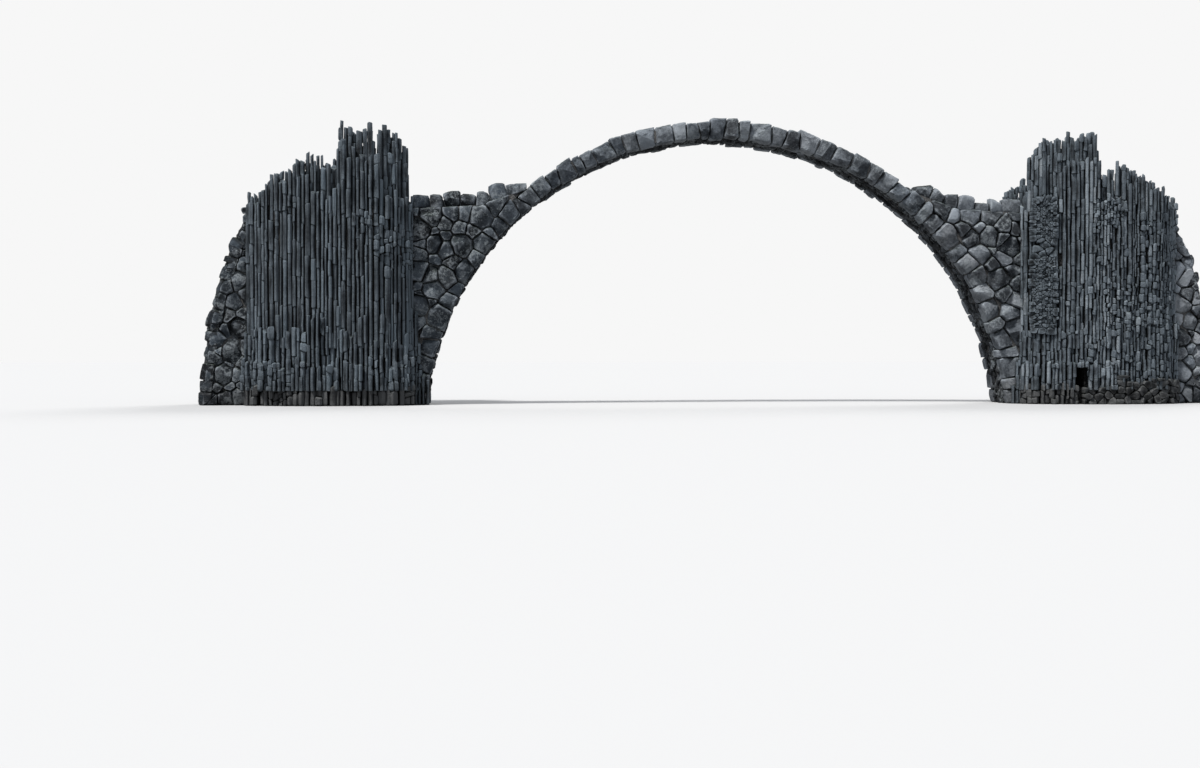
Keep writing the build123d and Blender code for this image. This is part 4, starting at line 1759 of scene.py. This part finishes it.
def build_spires(side_name, side, face_name, face):
    """Free-standing spires in rows along the platform's edge."""
    draw = random.Random(600 + 3 * side + face)
    pieces = []
    for row, inset in enumerate(SPIRE_ROWS):
        for station in stations(CORE_CHAIN, -inset, SPIRE_WIDTHS[side], side, face, draw):
            station = station._replace(width=station.width * SPIRE_SPREAD, tone=station.tone * SPIRE_TONE)
            distance = abs(station.x) - BASTION_START
            if draw.random() < SPIRE_GAPS:
                continue
            rise = value_at(SPIRE_PROFILES[face], distance) + draw.uniform(*SPIRE_PLAY) - SPIRE_FALL * row
            rise -= draw.choice(SPIRE_DROPS) * draw.random()
            top = PLATFORM + max(LEAST_SPIRE, rise)
            pieces += column_pieces(station, side, face, SPIRE_DEPTH, PLATFORM, top, draw)
    finish_columns(f"{side_name}_{face_name}_spire_rows", pieces,
                   f"{side_name}_{face_name}_spires", COLUMN)


def up_to_slot(row):
    """The plinth's columns before the drain's slot, drawn out to end at it."""
    edge = OUTLET_SLOT_X - OUTLET_SLOT / 2
    row = [p for p in row if p.x < edge]
    last = row[-1].x + row[-1].width * PLINTH_SPREAD / 2
    fit = (edge - BASTION_START) / (last - BASTION_START)
    return [p._replace(x=BASTION_START + (p.x - BASTION_START) * fit) for p in row]


def build_plinth(side_name, side):
    """Short thick columns round a bastion's foot."""
    pieces = []
    out, depth = PLINTH_ROW
    for face in FACES.values():
        draw = random.Random(700 + 3 * side + face)
        row = stations(FACING_CHAIN, out, PLINTH_WIDTHS, side, face, draw)
        if is_right_front(side, face):
            pieces += plinth_blocks(draw)
            row = up_to_slot(row)
        for station in row:
            # The left plinth is drawn lighter: painted light
            width, tone = station.width * PLINTH_SPREAD, station.tone + PLINTH_PAINTED_LIGHT[side]
            station = station._replace(width=width, tone=tone)
            top = PLINTH_TOP + sway(draw, PLINTH_PLAY)
            pieces += column_pieces(station, side, face, depth, 0.0, top, draw)
    finish_columns(f"{side_name}_plinth_blocks", pieces,
                   f"{side_name}_bastion_plinth", PLINTH)


# Wing walls and the bastions' outer ends

# Elevation of a wing wall, as shares of its length and of its height
WING_PROFILE = [(0, 0), (1, 0), (0.8, 0.45), (0.35, 0.85), (0, 1)]
WING_EDGE = 0.04
WING_PROUD = (0.04, 0.10)
WING_TILT = 0.2
WING_SHARPNESS = (14, 30)
WING_FACE_DEPTH = 0.42
WING_BED_INSET = 0.15
WING_BED_DEPTH = 0.09
QUOIN_DEPTH = 0.24
QUOIN_PROUD = 0.05
QUOIN_BACK = -0.45
QUOIN_PLAY = (-0.03, 0.02)
END_CAP_SPACING = 0.34
END_CAP_BACK = -0.2
END_CAP_PROUD = (0.10, 0.18)
END_TILT = 0.16
END_SHARPNESS = 20


def wing_outline(side, inset):
    """Elevation of a wing wall, drawn in by a distance from its sloping end."""
    low, high = WING_LOW.x, WING_HIGH.x - inset
    top = WING_HIGH.z - inset
    corners = [(low + (high - low) * along, top * up) for along, up in WING_PROFILE]
    return [(side * x, z) for x, z in corners]


def along(line, distance, side):
    """Point of a wing's sloping end at a distance up it, and the direction out of the wall there."""
    for a, b in zip(line, line[1:]):
        length = math.dist(a, b)
        if distance <= length or b == line[-1]:
            break
        distance -= length
    way = ((b[0] - a[0]) / length, (b[1] - a[1]) / length)
    return (a[0] + way[0] * distance, a[1] + way[1] * distance), (side * way[1], -side * way[0])


def end_stones(low, high, spacing, unequal, back, fronts, axes, draw):
    """Boulders over a rectangle of a wall's end, from a plain back to their own fronts."""
    seeds = scattered(draw, low, high, spacing, anywhere)
    stones = []
    for _, cell in grown(seeds, seeds, BOULDER_REACH, JOINT, box_lines(low, high), unequal=unequal):
        front = draw.uniform(*fronts)
        mapping = set_in_wall(cell, back, front, broken_front(draw, END_TILT), axes, END_SHARPNESS)
        stones.append(stone_copy(FACE_BLOCK, mapping, draw.random()))
    return stones


def wing_face(face, outline, lines, draw):
    """Boulders of a wing wall's front or back."""
    half = WING_HIGH.y
    xs = [x for x, _ in outline]
    low, high = (min(xs), 0.1), (max(xs), WING_HIGH.z)
    seeds = scattered(draw, low, high, BOULDER_SPACING, lambda p: inside(p, lines))
    stones = []
    for _, cell in grown(seeds, seeds, BOULDER_REACH, JOINT, lines, LEAST_BOULDER, UNEQUAL_BOULDERS):
        back, front = face * (half - WING_FACE_DEPTH), face * (half + draw.uniform(*WING_PROUD))
        fall = broken_front(draw, WING_TILT)
        mapping = set_in_wall(cell, back, front, fall, in_elevation, draw.uniform(*WING_SHARPNESS))
        stones.append(stone_copy(FACE_BLOCK, facing_out(face, mapping), draw.random()))
    return stones


def build_wing(side_name, side):
    """The boulder wing wall: its front, its back, its sloping end and the bastion's end over it."""
    draw = random.Random(800 + side)
    outline = wing_outline(side, WING_EDGE)
    lines = outline_lines(wing_outline(side, QUOIN_DEPTH))
    stones = []
    for face in FACES.values():
        stones += wing_face(face, outline, lines, draw)
    slope = outline[1:]
    length = sum(math.dist(a, b) for a, b in zip(slope, slope[1:]))
    half = WING_HIGH.y

    def down_the_end(u, v, depth):
        (x, z), (out_x, out_z) = along(slope, u, side)
        return Vector((x + out_x * depth, side * v, z + out_z * depth))

    low, high = (0.0, -half - QUOIN_PROUD), (length, half + QUOIN_PROUD)
    stones += end_stones(low, high, BOULDER_SPACING, UNEQUAL_BOULDERS, QUOIN_BACK, QUOIN_PLAY,
                         down_the_end, draw)
    stones += end_cap(side, draw)
    bed = mortar_block(wing_outline(side, WING_BED_INSET), half - WING_BED_DEPTH)
    piece = with_mortar(f"{side_name}_wing_boulders", stones, bed)
    finished(piece, f"{side_name}_wing_wall", STONE_SMOOTH)


def end_cap(side, draw):
    """Stones on the bastion's outer end, between the wing wall's top and the platform."""
    half = BASTION_PLAN[-1][1] * HALF_DEPTH

    def on_end(u, v, depth):
        return Vector((side * BASTION_END + side * depth, u * side, v))

    low, high = (-half, WING_HIGH.z - 0.3), (half, PLATFORM)
    return end_stones(low, high, END_CAP_SPACING, UNEQUAL_BOULDERS / 2, END_CAP_BACK, END_CAP_PROUD,
                      on_end, draw)


def dress_cores():
    """The masonry cores keep their own shape and get a rubble finish."""
    for side_name in SIDES:
        for part, material in (("_spandrel_core", MORTAR), ("_bastion_core", CORE)):
            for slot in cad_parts[side_name + part].material_slots:
                slot.material = material


# Floor, light and camera

FLOOR_SIZE = 900
FLOOR_COLOUR = (0.578, 0.570, 0.558)
FLOOR_BOUNCE = (0.16, 0.16, 0.16)
SKY_SEEN = (0.93, 0.93, 0.93)
SKY_LIGHT = (0.38, 0.41, 0.46)

# Suns: name, strength, then apparent size, height and direction in degrees
SUNS = [("key", 3.4, 9, 60, -145), ("fill", 1.3, 30, 42, 55)]

CAMERA_PLACE = (-8.228, -52.95, 1.7)
PHOTO_WIDTH_PX = 1200
FOCAL_LENGTH_PX = 1456
SENSOR = 36.0
CAMERA_TURN = 4.23
CAMERA_DIP = 1.062


def seen_or_lit(tree, seen, light):
    """One colour where the camera looks straight at it and another for the light it gives."""
    rays = tree.nodes.new("ShaderNodeLightPath")
    return mixed(tree, rays.outputs["Is Camera Ray"], light, seen)


def build_floor():
    """A plain pale floor that throws less light up than it shows."""
    bpy.ops.mesh.primitive_plane_add(size=FLOOR_SIZE)
    floor = bpy.context.object
    floor.name = "floor"
    material = bpy.data.materials.new("floor")
    material.use_nodes = True
    tree = material.node_tree
    shader = tree.nodes["Principled BSDF"]
    shader.inputs["Roughness"].default_value = 0.9
    shader.inputs["Specular IOR Level"].default_value = 0.0
    tree.links.new(seen_or_lit(tree, FLOOR_COLOUR, FLOOR_BOUNCE), shader.inputs["Base Color"])
    floor.data.materials.append(material)


def build_light():
    """A soft sky and two broad suns."""
    world = bpy.data.worlds.new("studio")
    bpy.context.scene.world = world
    world.use_nodes = True
    tree = world.node_tree
    background = tree.nodes["Background"]
    tree.links.new(seen_or_lit(tree, SKY_SEEN, SKY_LIGHT), background.inputs["Color"])
    background.inputs["Strength"].default_value = 1.0
    for name, energy, angle, elevation, azimuth in SUNS:
        lamp = bpy.data.lights.new(name, "SUN")
        lamp.energy = energy
        lamp.angle = math.radians(angle)
        holder = bpy.data.objects.new(name, lamp)
        bpy.context.collection.objects.link(holder)
        holder.rotation_euler = (math.radians(90 - elevation), 0, math.radians(azimuth + 90))


def build_camera():
    """The photograph's viewpoint: low, in front of the left half, looking a little to the right."""
    lens = bpy.data.cameras.new("camera")
    lens.sensor_width = SENSOR
    lens.lens = SENSOR * FOCAL_LENGTH_PX / PHOTO_WIDTH_PX
    lens.clip_end = 2000
    camera = bpy.data.objects.new("camera", lens)
    bpy.context.collection.objects.link(camera)
    camera.location = CAMERA_PLACE
    camera.rotation_euler = (math.radians(90 - CAMERA_DIP), 0, math.radians(-CAMERA_TURN))
    bpy.context.scene.camera = camera
    bpy.context.scene.view_settings.view_transform = "Standard"


build_camera()
build_masonry()
for side_name, side in SIDES.items():
    for face_name, face in FACES.items():
        build_kerb(side_name, side, face_name, face)
for side_name, side in SIDES.items():
    build_flagstones(side_name, side)
for side_name, side in SIDES.items():
    for face_name, face in FACES.items():
        build_lower_columns(side_name, side, face_name, face)
        build_upper_columns(side_name, side, face_name, face)
        build_spires(side_name, side, face_name, face)
    build_plinth(side_name, side)
    build_wing(side_name, side)
dress_cores()
deselect()
for master in ROUGH_STONES + LONG_PIECES + STUBS + [FACE_BLOCK, SMALL_BLOCK]:
    bpy.data.objects.remove(master)
build_floor()
build_light()
